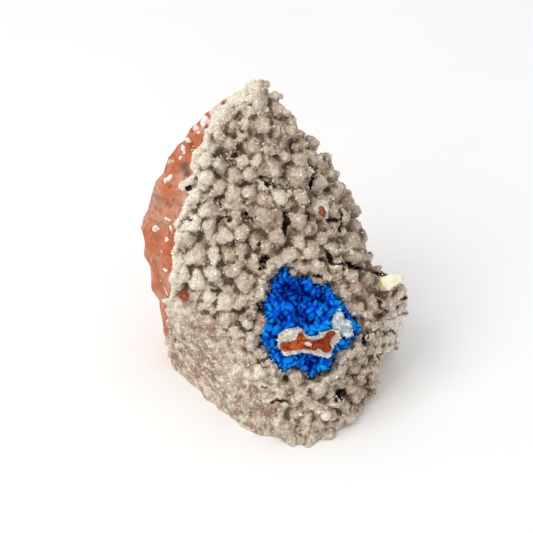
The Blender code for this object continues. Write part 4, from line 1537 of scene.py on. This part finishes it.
    def _tint(self, mesh: Mesh) -> None:
        """Stores how brown, cream, whitened or green each vertex is, how much painted shade it gets in
        crevices, seams and clefts, and painted highlight in cream on convex crests.
        """
        points = points_of(mesh)
        across, up, _ = plane_places(points)
        front = np.clip(normals_of(mesh) @ np.array(OUT) * 2 + 0.6, 0, 1)
        flat = self._flatness(across, up) * front
        # Painted shade: darker in wide and tight hollows, along the seams between the large lumps and in
        # the clefts, less near the rim.
        wide = hollowness(mesh, 40, 0.9)
        tight = hollowness(mesh, 7, 0.2)
        deep = np.clip(read_values(mesh, "deep") * 1.8, 0, 1)
        _, border, number = self.knobs.at(points)
        own = np.array([noise.cell((value * 3.7, 0.5, 0.5)) for value in number.tolist()])
        seam = np.exp(-((border / 0.12) ** 2)) * front * (1 - 0.9 * flat)
        shade = 0.75 * np.clip(wide - 0.08, 0, 1) + 0.25 * np.clip(tight, 0, 1) + 0.45 * seam
        shade = np.minimum(shade, self.shade_limit)
        rim = np.clip(1.2 - self._from_rim(across, up) / 2.4, 0, 1)
        put_values(mesh, "shaded_cleft", np.clip(np.maximum(shade * (1 - 0.6 * rim), deep), 0, 1))
        brown = total_weight(self.browns, across, up) * front
        patches = np.clip(noise_values(points, 6, 4.4) - 0.25, 0, 1) * 0.8
        brown += patches + np.clip(own - 0.1, 0, 1) * 0.55 * front
        brown += flat * np.clip(noise_values(points, 2.4, 6.1) * 3.5 + 0.5, 0, 0.95)
        put_values(mesh, "brown", np.clip(brown * (1 - rim), 0, 0.9))
        cream = total_weight(self.creams, across, up) * front
        # Cream on the rim, in the listed spots and on some lumps is the crust's own; the cream on convex
        # crests is painted highlight.
        cream += rim + np.clip(-wide * 0.6, 0, 0.45) + np.clip(-own - 0.2, 0, 1) * 0.45 * front
        cream += flat * np.clip(noise_values(points, 2.0, 3.6) * 3.0 - 0.25, 0, 0.7)
        put_values(mesh, "cream", np.clip(cream, 0, 1))
        put_values(mesh, "chalk", np.clip(total_weight(self.chalks, across, up), 0, 1))
        put_values(mesh, "green", np.clip(total_weight(self.greens, across, up) * front, 0, 1))


@dataclass
class Druse:
    """The tiny crystals all over the crust, and the few that glint."""

    seed: int = 23
    count: int = 15500
    glints: int = 950
    width: tuple[float, float] = (0.13, 0.26)
    length: tuple[float, float] = (0.35, 0.6)
    stand: float = 0.32
    room: float = 0.19
    bare_above: float = 0.75
    glint_size: float = 1.15
    # The crust's stains, its painted shade in the clefts and its painted highlight in cream, which the
    # crystals take on.
    carried: tuple[str, ...] = ("brown", "cream", "shaded_cleft")

    def stamp(self, sides: int) -> Stamp:
        """One stubby crystal, a millimetre long, with a cut-off point."""
        bm = bmesh.new()
        bmesh.ops.create_cone(
            bm, cap_ends=True, segments=sides, radius1=1.0, radius2=0.45, depth=1.0,
            matrix=Matrix.Translation((0, 0, 0.5)),
        )
        return Stamp.of(bm)

    def build(self, crust: Object, hidden: Callable[[Vector, Vector], bool]) -> list[Object]:
        """Grows both kinds of crystals.

        Args:
            crust: the finished crust.
            hidden: says whether a place with its normal is out of sight.

        Returns:
            The druse and the glinting crystals.
        """
        dice = random.Random(self.seed)
        mesh = crust.data
        points = points_of(mesh)
        normals = normals_of(mesh)
        shares = {name: read_values(mesh, name) for name in self.carried}
        order = list(range(len(points)))
        dice.shuffle(order)
        spread = Spread(1.0 * MM)
        chosen: list[int] = []
        for index in order:
            if len(chosen) >= self.count + self.glints:
                break
            place = Vector(points[index])
            # No crystals where the painted shade of the clefts is deepest.
            if shares["shaded_cleft"][index] > self.bare_above:
                continue
            if hidden(place, Vector(normals[index])) or not spread.take(place, self.room * MM):
                continue
            chosen.append(index)
        bright = chosen[: self.glints]
        dull = chosen[self.glints :]
        druse = self._grown("druse_crystals", dull, points, normals, 1.0, dice)
        copies = read_values(druse.data, "copy").astype(int)
        for name, values in shares.items():
            picked = np.array([values[index] for index in dull])
            put_values(druse.data, name, picked[copies])
        tones = np.array([dice.random() ** 1.4 for _ in dull])
        put_values(druse.data, "tone", tones[copies])
        glints = self._grown("glinting_crystals", bright, points, normals, self.glint_size, dice)
        return [druse, glints]

    def _grown(
        self, name: str, chosen: Sequence[int], points: np.ndarray, normals: np.ndarray, size: float,
        dice: random.Random,
    ) -> Object:
        """Grows one crystal at each chosen vertex, size times as large as usual."""
        places = []
        for index in chosen:
            grown = dice.uniform(0.8, 1.2) * size
            wide = dice.uniform(*self.width) * grown
            tall = dice.uniform(*self.length) * grown
            lean = Vector([dice.gauss(0, 0.38) for _ in range(3)])
            axis = (Vector(normals[index]) + lean).normalized()
            foot = Vector(points[index]) - axis * tall * (1 - self.stand) * MM
            sizes = (wide, wide * dice.uniform(0.6, 1.0), tall)
            places.append(set_at(foot, turned_to(axis, dice.uniform(0, math.tau)), sizes))
        return new_piece(name, self.stamp(4).set_down(name, places))


@dataclass
class Wreath:
    """The wreath of blue crystals in the crust's hollow."""

    seed: int = 31
    facet_seed: int = 7
    floor_out: float = 7.3
    floor_middle: Point = (4, 27)
    floor_slope: Point = (-0.24, 0.19)
    bowl: Point = (5.9, 31.2)
    bowl_left_of: float = 15.0
    bowl_above: float = 25.5
    bar_ends: tuple[float, float] = (1.5, 13.5)
    bar_up: float = 22.0
    foot: float = 0.7
    cushion: tuple[float, float] = (0.2, 1.3)
    crest: float = 1.6
    voxel: float = 0.3
    radius: tuple[float, float] = (0.65, 1.5)
    spacing: float = 0.46
    tries: int = 12000
    teeth: int = 170
    tooth_radius: tuple[float, float] = (0.35, 0.85)
    tooth_height: tuple[float, float] = (1.6, 3.4)
    full_height: float = 4.5
    outline: tuple[Point, ...] = Crust.wreath
    # Where the crystals sit lower and are painted darker, as shade.
    pits: tuple[Spot, ...] = each(
        Spot, (3.9, 33.2, 2.1), (8.2, 33, 1.7), (6.1, 29.8, 1.6, 0.9), (2.3, 29.5, 1.2, 0.7),
        (6.1, 27, 1.6, 0.8), (11, 28.9, 1, 0.8), (7.9, 18.9, 1.5, 0.7), (-0.4, 23.2, 1, 0.6),
        (14.9, 23.2, 0.9, 0.8), (5.9, 34.6, 1.4, 0.8),
    )
    # Where the crystals stand higher and are painted lighter, as highlight.
    glows: tuple[Spot, ...] = each(
        Spot, (2.4, 38.1, 1.6, 0.6), (9.3, 29.3, 1.3, 0.9), (11.4, 27, 1.8, 1), (8.6, 24.9, 1.8, 0.8),
        (11, 34.4, 1.4, 0.6), (18, 25.6, 1.5, 1.2), (-0.9, 29.8, 1.8, 0.5), (0, 18.8, 1.4, 0.8),
        (2.1, 17.2, 1.3, 1), (11, 16.5, 1.5, 0.9), (14.2, 30.9, 1, 1), (14.6, 21.6, 1, 0.7),
        (-1.6, 25, 1.3, 0.6), (-0.8, 21.6, 1.3, 0.5), (5.2, 18.7, 1.5, 0.5), (-0.6, 27.6, 1.4, 0.5),
    )
    patch: tuple[Point, ...] = (
        (12.8, 26.9), (13.2, 28.2), (13.8, 29.4), (14.3, 30.1), (14.8, 29.2), (14.9, 27.7), (16.4, 27.1),
        (17, 26.1), (17.1, 24.8), (16.4, 23.5), (15.3, 24), (14.3, 25), (13, 25.4),
    )
    core: tuple[Point, ...] = (
        (0.7, 22.7), (0.8, 24), (1.6, 25), (2.5, 25.5), (3.7, 25.6), (5.8, 25.5), (6.5, 24.6),
        (6.9, 23.8), (8.4, 23.6), (10.1, 24.1), (11.1, 24.8), (12.2, 25.3), (13.2, 25.4), (14.3, 25.2),
        (14.5, 24), (14.2, 22.7), (13.2, 21.6), (12.6, 20.6), (12.4, 19.5), (11.7, 18.9), (10.3, 19.5),
        (7.9, 20), (5.8, 20.2), (3.7, 19.7), (2.5, 19.5), (1.6, 20.2), (1, 21.4),
    )

    def floor(self, across: float, up: float) -> float:
        """How far out the hollow's floor is at a place, in millimetres."""
        rise = self.floor_slope[1] * (up - self.floor_middle[1])
        return self.floor_out + rise + self.floor_slope[0] * (across - self.floor_middle[0])

    def raise_outline(
        self, bm: bmesh.types.BMesh, outline: Sequence[Point], low: float, high: float
    ) -> None:
        """Raises an outline on the hollow's floor.

        Args:
            bm: takes the new block.
            outline: the block's corners, across and up.
            low: where the block starts above the floor.
            high: where it ends.
        """
        corners = [bm.verts.new(on_plane(x, y, self.floor(x, y) + low)) for x, y in outline]
        made = bmesh.ops.extrude_face_region(bm, geom=[bm.faces.new(corners)])["geom"]
        tops = [item for item in made if isinstance(item, bmesh.types.BMVert)]
        bmesh.ops.translate(bm, verts=tops, vec=OUT * (high - low) * MM)
        bmesh.ops.triangulate(bm, faces=bm.faces[:])

    def stamp(self) -> Stamp:
        """One flat blade, a millimetre long, with a wedge for its tip."""
        bm = bmesh.new()
        for x, y in ((1, 0), (0.55, 0.5), (-0.55, 0.5), (-1, 0), (-0.55, -0.5), (0.55, -0.5)):
            bm.verts.new((x * 0.75, y * 0.75, 0))
            bm.verts.new((x, y, 0.74))
        for x in (-0.45, 0.45):
            bm.verts.new((x, 0, 1.0))
        bmesh.ops.convex_hull(bm, input=bm.verts[:])
        return Stamp.of(bm)

    def tones(self, across: np.ndarray, up: np.ndarray) -> np.ndarray:
        """How high the crystals stand at each place, and how much painted light they get: 0 in the pits,
        painted darkest, 1 on the crests, painted lightest.
        """
        places = np.stack([across, up, np.full(len(across), 4.0)], axis=1) * MM
        tone = 0.58 + 1.1 * noise_values(places, 2.5, 1.4) + 0.4 * noise_values(places, 1.2, 7.7)
        pit = top_weight(self.pits, across, up)
        return np.clip(tone - 0.6 * pit + 0.35 * top_weight(self.glows, across, up), 0, 1)

    def build_cushion(self) -> Object:
        """Models the lumpy blue mass that the crystals stand on."""
        bm = bmesh.new()
        self.raise_outline(bm, self.outline, *self.cushion)
        piece = cast(bm, "wreath_cushion", self.voxel)
        points = points_of(piece.data)
        tone = self.tones(*plane_places(points)[:2])
        points += normals_of(piece.data) * (0.4 * noise_values(points, 0.9, 2.7))[:, None] * MM
        facing = np.clip(normals_of(piece.data) @ np.array(OUT), 0, 1)
        points += np.array(OUT) * (facing * self.crest * tone)[:, None] * MM
        move_points(piece.data, points)
        # Painted shade: the cushion is navy where it is low and in the pits, bluer on its crests.
        put_values(piece.data, "rise", np.clip(tone * 1.1 - 0.3, 0, 1))
        put_values(piece.data, "painted_highlight", np.zeros(len(points)))
        return piece

    def build(self) -> Object:
        """Grows the crystals.

        Returns:
            The crystals, with the shares of their colours, painted shade and highlight among them, stored
            on their vertices.
        """
        dice = random.Random(self.seed)
        spread = Spread(2.2 * MM)
        places: list[Matrix] = []
        # Each crystal's painted highlight, and its painted lightness from shade to light.
        painted_highlight: list[float] = []
        light: list[float] = []
        for _ in range(self.tries):
            across, up = dice.uniform(-4, 20), dice.uniform(13, 41)
            if not inside(self.outline, across, up):
                continue
            if inside(self.core, across, up) or inside(self.patch, across, up):
                continue
            if not spread.take(Vector((across, up, 0)) * MM, self.spacing * MM):
                continue
            middle = Vector((min(self.bar_ends[1], max(self.bar_ends[0], across)), self.bar_up))
            if up > self.bowl_above and across < self.bowl_left_of:
                middle = Vector(self.bowl)
            away = Vector((across, up)) - middle
            lean = math.radians(min(34, 6 + 3.2 * away.length) * dice.uniform(0.3, 1.7))
            heading = away + Vector((dice.gauss(0, 2.4), dice.gauss(0, 2.4)))
            spot = np.array([across]), np.array([up])
            tone = float(self.tones(*spot)[0])
            front = float(top_weight(self.glows, *spot)[0])
            tall = (1.7 + 0.14 * away.length + 1.5 * tone) * dice.uniform(0.75, 1.12)
            places.append(self._blade((across, up), heading, lean, dice.uniform(*self.radius), tall, dice))
            painted_highlight.append(tone * dice.uniform(0.0, 0.8) + 0.9 * front)
            light.append(1.2 * tone - 0.2 + dice.uniform(-0.12, 0.12))
        corners = [Vector(corner) for corner in self.outline]
        for _ in range(self.teeth):
            index = dice.randrange(len(corners))
            start, end = corners[index - 1], corners[index]
            inward = Vector((end.y - start.y, start.x - end.x)).normalized()
            spot = start.lerp(end, dice.random()) + inward * dice.uniform(0.2, 0.9)
            lean = math.radians(dice.uniform(5, 40))
            wide, tall = dice.uniform(*self.tooth_radius), dice.uniform(*self.tooth_height)
            places.append(self._blade(spot[:], -inward, lean, wide, tall, dice))
            painted_highlight.append(dice.uniform(0.5, 1.4))
            light.append(dice.uniform(0.2, 0.7))
        mesh = self.stamp().set_down("cavansite_wreath", places)
        copies = read_values(mesh, "copy").astype(int)
        across, up, out = plane_places(points_of(mesh))
        # Painted shade at each crystal's foot and painted highlight near its tip.
        height = (out - self.floor(across, up)) / self.full_height
        put_values(mesh, "rise", np.clip((height - 0.5) * 0.9 + np.array(light)[copies], 0, 1))
        put_values(mesh, "painted_highlight", np.clip((height - 0.3) * 2.0, 0, 1) * np.array(painted_highlight)[copies])
        # Painted light and shade on the faces: a random lighter or darker tone on each face.
        facets = np.random.default_rng(self.facet_seed).uniform(-1, 1, len(mesh.polygons))
        mesh.attributes.new("facet", "FLOAT", "FACE").data.foreach_set("value", facets.astype(np.float32))
        return new_piece("cavansite_wreath", mesh)

    def _blade(
        self, spot: Point, heading: Vector, lean: float, wide: float, tall: float, dice: random.Random
    ) -> Matrix:
        """The place of one blade, which leans less where it would reach past the outline.

        Args:
            spot: where it stands, across and up.
            heading: the direction it leans in.
            lean: how far it leans, in radians.
            wide: half its width in millimetres.
            tall: its length in millimetres.
            dice: turns it about its own length.

        Returns:
            The matrix that sets the stamp down.
        """
        heading = heading.normalized()
        for _ in range(7):
            if inside(self.outline, *(heading * (tall * math.sin(lean) + 0.8 * wide) + Vector(spot))):
                break
            lean *= 0.6
            wide *= 0.86
        sideways = ACROSS * heading.x + UP * heading.y
        axis = (OUT * math.cos(lean) + sideways * math.sin(lean)).normalized()
        size = (wide, wide * dice.uniform(0.75, 1.1), tall)
        turn = turned_to(axis, dice.uniform(0, math.tau))
        return set_at(on_plane(*spot, self.floor(*spot) + self.foot), turn, size)


@dataclass
class Core:
    """The broken core: an orange-red bar in a white and cream rim."""

    voxel: float = 0.24
    rim_top: float = 4.6
    bar_top: float = 5.5
    rim_wear: float = 0.5
    bar_wear: float = 0.38
    burnt_from: float = 7.6
    bar: tuple[Point, ...] = (
        (1, 22.2), (2.5, 22.6), (4.6, 23), (5, 24), (5.8, 24.8), (6.4, 24.4), (6.6, 23.3),
        (7.5, 23), (9.2, 22.9), (10.1, 23.2), (11, 23.3), (11.3, 24.4), (11.9, 25), (13.2, 25.1),
        (13.5, 24.6), (13.2, 24), (12.2, 22.7), (11.9, 22.1), (12.4, 21.4), (12.4, 20.6), (11.8, 20.1),
        (11.1, 20.2), (10.1, 21), (9.2, 21.4), (8.9, 20.6), (8.4, 20.9), (7.5, 21), (5.8, 21.1),
        (4.2, 20.9), (2.1, 20.5), (1.4, 21),
    )
    block: tuple[Point, ...] = (
        (1.3, 23.1), (2.1, 24.2), (3.5, 25), (5.6, 25.3), (5.8, 25), (4.9, 24.1), (4.5, 23.1),
        (2.7, 22.8), (1.4, 22.5),
    )
    eye: tuple[Point, ...] = (
        (6.3, 22.3), (6.6, 22.5), (7.2, 22.5), (7.7, 22.4), (8.1, 22.1), (7.8, 21.9), (7.2, 22),
        (6.6, 22.1),
    )

    def build(self, wreath: Wreath) -> tuple[Object, Object]:
        """Models the rim and the bar.

        Args:
            wreath: says where the hollow's floor is and what the core's outline is.

        Returns:
            The rim and the bar.
        """
        bm = bmesh.new()
        wreath.raise_outline(bm, wreath.core, 0.35, self.rim_top)
        wreath.raise_outline(bm, self.block, 1.0, self.bar_top + 0.3)
        wreath.raise_outline(bm, self.eye, 1.0, self.bar_top + 0.35)
        rim = cast(bm, "core_rim", self.voxel)
        self._weather(rim.data, self.rim_wear)
        bm = bmesh.new()
        wreath.raise_outline(bm, self.bar, 0.6, self.bar_top)
        bar = cast(bm, "core_bar", self.voxel)
        self._weather(bar.data, self.bar_wear)
        points = points_of(bar.data)
        across = plane_places(points)[0]
        spots = np.clip(noise_values(points, 1.3, 6.6) * 3 + 0.45, 0, 1)
        burnt = np.clip((across - self.burnt_from) / 1.4, 0, 1) * (0.55 + 0.6 * spots)
        burnt += 0.3 * (spots > 0.9)
        put_values(bar.data, "burnt", np.clip(burnt, 0, 1))
        return rim, bar

    def _weather(self, mesh: Mesh, depth: float) -> None:
        """Rounds and roughens a broken surface."""
        points = relaxed(mesh, points_of(mesh), 2)
        move_points(mesh, points)
        lift = depth * (noise_values(points, 1.6, 3.3) + 0.5 * noise_values(points, 0.6, 8.1))
        pushed_out(mesh, points, lift)


@dataclass
class WhiteDruse:
    """The grainy white mass right of the core, and the white crystals around core and wreath."""

    voxel: float = 0.2
    top: float = 4.7
    frost_seed: int = 43
    fringe_seed: int = 41
    on_patch: int = 620
    on_rim: int = 420
    along_wreath: int = 420
    width: tuple[float, float] = (0.12, 0.26)
    length: tuple[float, float] = (0.35, 0.75)

    def build_mass(self, wreath: Wreath) -> Object:
        """Models the mass."""
        bm = bmesh.new()
        wreath.raise_outline(bm, wreath.patch, 0.6, self.top)
        piece = cast(bm, "white_druse", self.voxel)
        points = relaxed(piece.data, points_of(piece.data), 4)
        move_points(piece.data, points)
        lift = 0.5 * noise_values(points, 1.3, 4.3) + 0.25 * noise_values(points, 0.6, 1.9)
        pushed_out(piece.data, points, lift)
        return piece

    def build_frost(self, mass: Object) -> Object:
        """Grows the crystals on the mass."""
        dice = random.Random(self.frost_seed)
        return self._grown("frost", self._facing(mass, self.on_patch, dice), dice)

    def build_fringe(self, wreath: Wreath, rim: Object, crust: Object) -> Object:
        """Grows the crystals on the core's rim and along the wreath's outline.

        Args:
            wreath: gives the outline.
            rim: the core's rim.
            crust: the finished crust.

        Returns:
            All of them as one piece.
        """
        dice = random.Random(self.fringe_seed)
        feet = self._facing(rim, self.on_rim, dice)
        tree = surface_of(crust)
        corners = list(wreath.outline)
        for _ in range(self.along_wreath):
            index = dice.randrange(len(corners))
            start, end = Vector(corners[index - 1]), Vector(corners[index])
            spot = start.lerp(end, dice.random()) + Vector((dice.gauss(0, 0.35), dice.gauss(0, 0.35)))
            place, normal = seen_at(tree, *spot)
            if place is not None:
                feet.append((place, normal))
        return self._grown("white_fringe", feet, dice)

    def _grown(self, name: str, feet: Sequence[tuple[Vector, Vector]], dice: random.Random) -> Object:
        """Grows one small crystal at each place."""
        places = []
        for place, normal in feet:
            axis = (normal + Vector([dice.gauss(0, 0.4) for _ in range(3)])).normalized()
            wide, tall = dice.uniform(*self.width), dice.uniform(*self.length)
            turn = turned_to(axis, dice.uniform(0, math.tau))
            places.append(set_at(place - axis * tall * 0.4 * MM, turn, (wide, wide, tall)))
        return new_piece(name, Druse().stamp(5).set_down(name, places))

    def _facing(self, piece: Object, count: int, dice: random.Random) -> list[tuple[Vector, Vector]]:
        """Random places on those sides of a piece that can be seen."""
        return [spot for spot in scattered(piece.data, count, dice) if spot[1].dot(OUT) > -0.1]


@dataclass(frozen=True)
class ChipPlace:
    """One chip of red rock that shows in the crust."""

    across: float
    up: float
    wide: float
    tall: float
    turn: float = 0.0


@dataclass
class Chips:
    """The chips of red rock that show through the crust."""

    seed: int = 53
    thick: float = 0.3
    places: tuple[ChipPlace, ...] = each(
        ChipPlace, (10.3, 51.3, 0.75, 1.35, 15), (-20.2, 32.8, 1.1, 1.5, 10), (21.2, 12.7, 0.45, 0.9, 35),
        (21, 11, 0.35, 0.5), (23.4, 18.6, 0.3, 0.8, 30),
    )

    def build(self, crust: Object) -> Object:
        """Sets the chips into the crust's surface.

        Args:
            crust: the finished crust.

        Returns:
            All chips as one piece.
        """
        dice = random.Random(self.seed)
        tree = surface_of(crust)
        bm = bmesh.new()
        for chip in self.places:
            place, normal = seen_at(tree, chip.across, chip.up)
            if place is None:
                continue
            facing = (normal * 0.35 + OUT * 0.65).normalized()
            side = facing.cross(UP).normalized() * -1
            frame = Matrix((side, facing.cross(side), facing)).transposed().to_4x4()
            turn = Matrix.Rotation(math.radians(chip.turn), 4, "Z")
            matrix = set_at(place, frame @ turn, (chip.wide, chip.tall, self.thick))
            made = bmesh.ops.create_icosphere(bm, subdivisions=3, radius=1.0, matrix=matrix)
            for vert in made["verts"]:
                vert.co += noise.noise_vector(vert.co / (0.8 * MM)) * chip.wide * 0.55 * MM
                vert.co += Vector([dice.uniform(-0.05, 0.05) for _ in range(3)]) * MM
        return new_piece("red_chips", mesh_from(bm, "red_chips"))


@dataclass
class PaleCrystal:
    """The pale, blocky, broken crystal on the right shoulder."""

    voxel: float = 0.16
    step: float = 0.55

    def build(self, node: Object) -> Object:
        """Models its broken faces and steps.

        Args:
            node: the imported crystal.

        Returns:
            The crystal, with the shares of its chip stored on its vertices.
        """
        piece = cast(merged_copy(node), "pale_broken_crystal", self.voxel)
        mesh = piece.data
        points = points_of(mesh)
        low, high = points.min(axis=0), points.max(axis=0)
        across, up, out = plane_places(points)
        along = out * 0.8 + up * 0.5
        ledge = (along - np.floor(along / self.step) * self.step) / self.step
        rough = 0.10 * noise_values(points, 1.2, 2.2) - 0.10 * ledge - 0.10
        move_points(mesh, np.clip(points + normals_of(mesh) * rough[:, None] * MM, low, high))
        middle_across, middle_up = (across.max() + across.min()) / 2, (up.max() + up.min()) / 2
        slant = (across - middle_across) * 0.62 - (up - middle_up)
        put_values(mesh, "chip", np.clip(1.6 - np.abs(slant - 1.9) * 1.5, 0, 1))
        put_values(mesh, "pale", np.clip((slant - 0.4) * 1.2, 0, 1))
        return piece


@dataclass
class Bead:
    """The small smooth bead low on the front."""

    def build(self, node: Object) -> Object:
        """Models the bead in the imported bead's place.

        Args:
            node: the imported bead.

        Returns:
            The bead, slightly uneven.
        """
        points = points_of(node.data)
        centre = Vector((points.min(axis=0) + points.max(axis=0)) / 2)
        radius = float((points.max(axis=0) - points.min(axis=0)).min()) / 2
        bm = bmesh.new()
        bmesh.ops.create_icosphere(bm, subdivisions=4, radius=radius, matrix=Matrix.Translation(centre))
        for vert in bm.verts:
            vert.co += (vert.co - centre) * 0.05 * (noise.noise(vert.co / MM / 1.1) - 0.5)
        mesh = mesh_from(bm, "smooth_bead")
        mesh.shade_smooth()
        return new_piece("smooth_bead", mesh)


@dataclass
class Studio:
    """The plain floor, the soft light and the camera at the photograph's angle."""

    picture_side: int = 533
    pixel: float = 0.22
    foot_pixel: Point = (275.0, 445.0)
    middle_out: float = 12.0
    distance: float = 450.0
    floor_side: float = 6000.0
    floor_depth: float = 0.02
    surrounding: float = 0.78
    lamp_place: tuple[float, float, float] = (-260, -200, 470)
    lamp_side_m: float = 0.34
    lamp_power: float = 1.5
    lamp_colour: Colour = (1.0, 0.985, 0.96)
    aim_height: float = 35.0

    def build(self, effects: Effects) -> None:
        """Sets up everything that isn't the specimen."""
        self._floor(effects)
        self._light()
        self._camera()

    def _floor(self, effects: Effects) -> None:
        """A wide plain floor."""
        bm = bmesh.new()
        bmesh.ops.create_grid(bm, x_segments=8, y_segments=8, size=self.floor_side / 2 * MM)
        bmesh.ops.translate(bm, verts=bm.verts[:], vec=(0, 0, -self.floor_depth * MM))
        floor = new_piece("floor", mesh_from(bm, "floor"))
        floor.data.materials.append(PaperFinish().material(effects))

    def _light(self) -> None:
        """A soft key light from the upper left, and an even white surrounding."""
        world = bpy.data.worlds.new("white surrounding")
        world.use_nodes = True
        background = world.node_tree.nodes["Background"]
        background.inputs["Color"].default_value = (1.0, 1.0, 1.0, 1.0)
        background.inputs["Strength"].default_value = self.surrounding
        bpy.context.scene.world = world
        lamp = bpy.data.objects.new("key", bpy.data.lights.new("key", "AREA"))
        lamp.data.size = self.lamp_side_m
        lamp.data.energy = self.lamp_power
        lamp.data.color = self.lamp_colour
        lamp.location = Vector(self.lamp_place) * MM
        aim = Vector((0, 0, self.aim_height)) * MM - lamp.location
        lamp.rotation_euler = aim.to_track_quat("-Z", "Y").to_euler()
        bpy.context.scene.collection.objects.link(lamp)
        bpy.context.scene.view_settings.view_transform = "Standard"

    def _camera(self) -> None:
        """The camera, square to the leaning plane, framed as the photograph is."""
        middle = self.picture_side / 2
        across = (middle - self.foot_pixel[0]) * self.pixel
        up = (self.foot_pixel[1] - middle) * self.pixel
        camera = bpy.data.objects.new("camera", bpy.data.cameras.new("camera"))
        camera.data.lens = camera.data.sensor_width * self.distance / (self.picture_side * self.pixel)
        camera.location = on_plane(across, up, self.middle_out + self.distance)
        camera.rotation_euler = (-OUT).to_track_quat("-Z", "Y").to_euler()
        bpy.context.scene.collection.objects.link(camera)
        bpy.context.scene.camera = camera


def main() -> None:
    """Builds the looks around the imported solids."""
    logging.basicConfig(level=logging.INFO, format="%(message)s")
    noise.seed_set(NOISE_SEED)
    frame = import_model()
    nodes = frame["nodes"]
    effects = Effects()
    Studio().build(effects)

    rock_surface = surface_of(nodes["matrix"])
    crust_maker = Crust()
    wreath_maker = Wreath()
    crust = crust_maker.build(nodes["crust"], rock_surface, wreath_maker)
    fit_in(crust, Slot.CRUST, CrustFinish().material(effects))

    def hidden(place: Vector, normal: Vector) -> bool:
        """Whether a place on the crust is out of sight."""
        return crust_maker.covered(place, normal, rock_surface)

    druse, glints = Druse().build(crust, hidden)
    fit_in(druse, Slot.CRUST, DruseFinish().material(effects), replaces=False)
    fit_in(glints, Slot.CRUST, GlintFinish().material(effects), replaces=False)

    basalt = Basalt()
    rock = basalt.build(nodes["matrix"], surface_of(crust))
    fit_in(rock, Slot.MATRIX, BasaltFinish().material(effects))
    bubbles = basalt.build_bubbles(rock, surface_of(nodes["crust"]))
    fit_in(bubbles, Slot.MATRIX, BubbleFinish().material(effects), replaces=False)

    blue = BlueFinish().material(effects)
    fit_in(wreath_maker.build_cushion(), Slot.CAVANSITE, blue)
    fit_in(wreath_maker.build(), Slot.CAVANSITE, blue)
    rim, bar = Core().build(wreath_maker)
    fit_in(rim, Slot.CORE, RimFinish().material(effects))
    core_rock = CoreFinish().material(effects)
    fit_in(bar, Slot.CORE, core_rock)
    white_druse = WhiteDruse()
    white = WHITE_CRYSTALS.material(effects)
    frost = FROSTY_CRYSTALS.material(effects)
    mass = white_druse.build_mass(wreath_maker)
    fit_in(mass, Slot.CORE, frost, replaces=False)
    fit_in(white_druse.build_frost(mass), Slot.CORE, frost, replaces=False)
    fit_in(white_druse.build_fringe(wreath_maker, rim, crust), Slot.CORE, white, replaces=False)
    fit_in(Chips().build(crust), Slot.MATRIX, CHIP_ROCK.material(effects), replaces=False)

    fit_in(PaleCrystal().build(nodes["pale_crystal"]), Slot.PALE, PaleFinish().material(effects))
    fit_in(Bead().build(nodes["bead"]), Slot.BEAD, PearlFinish().material(effects))


if __name__ == "__main__":
    main()
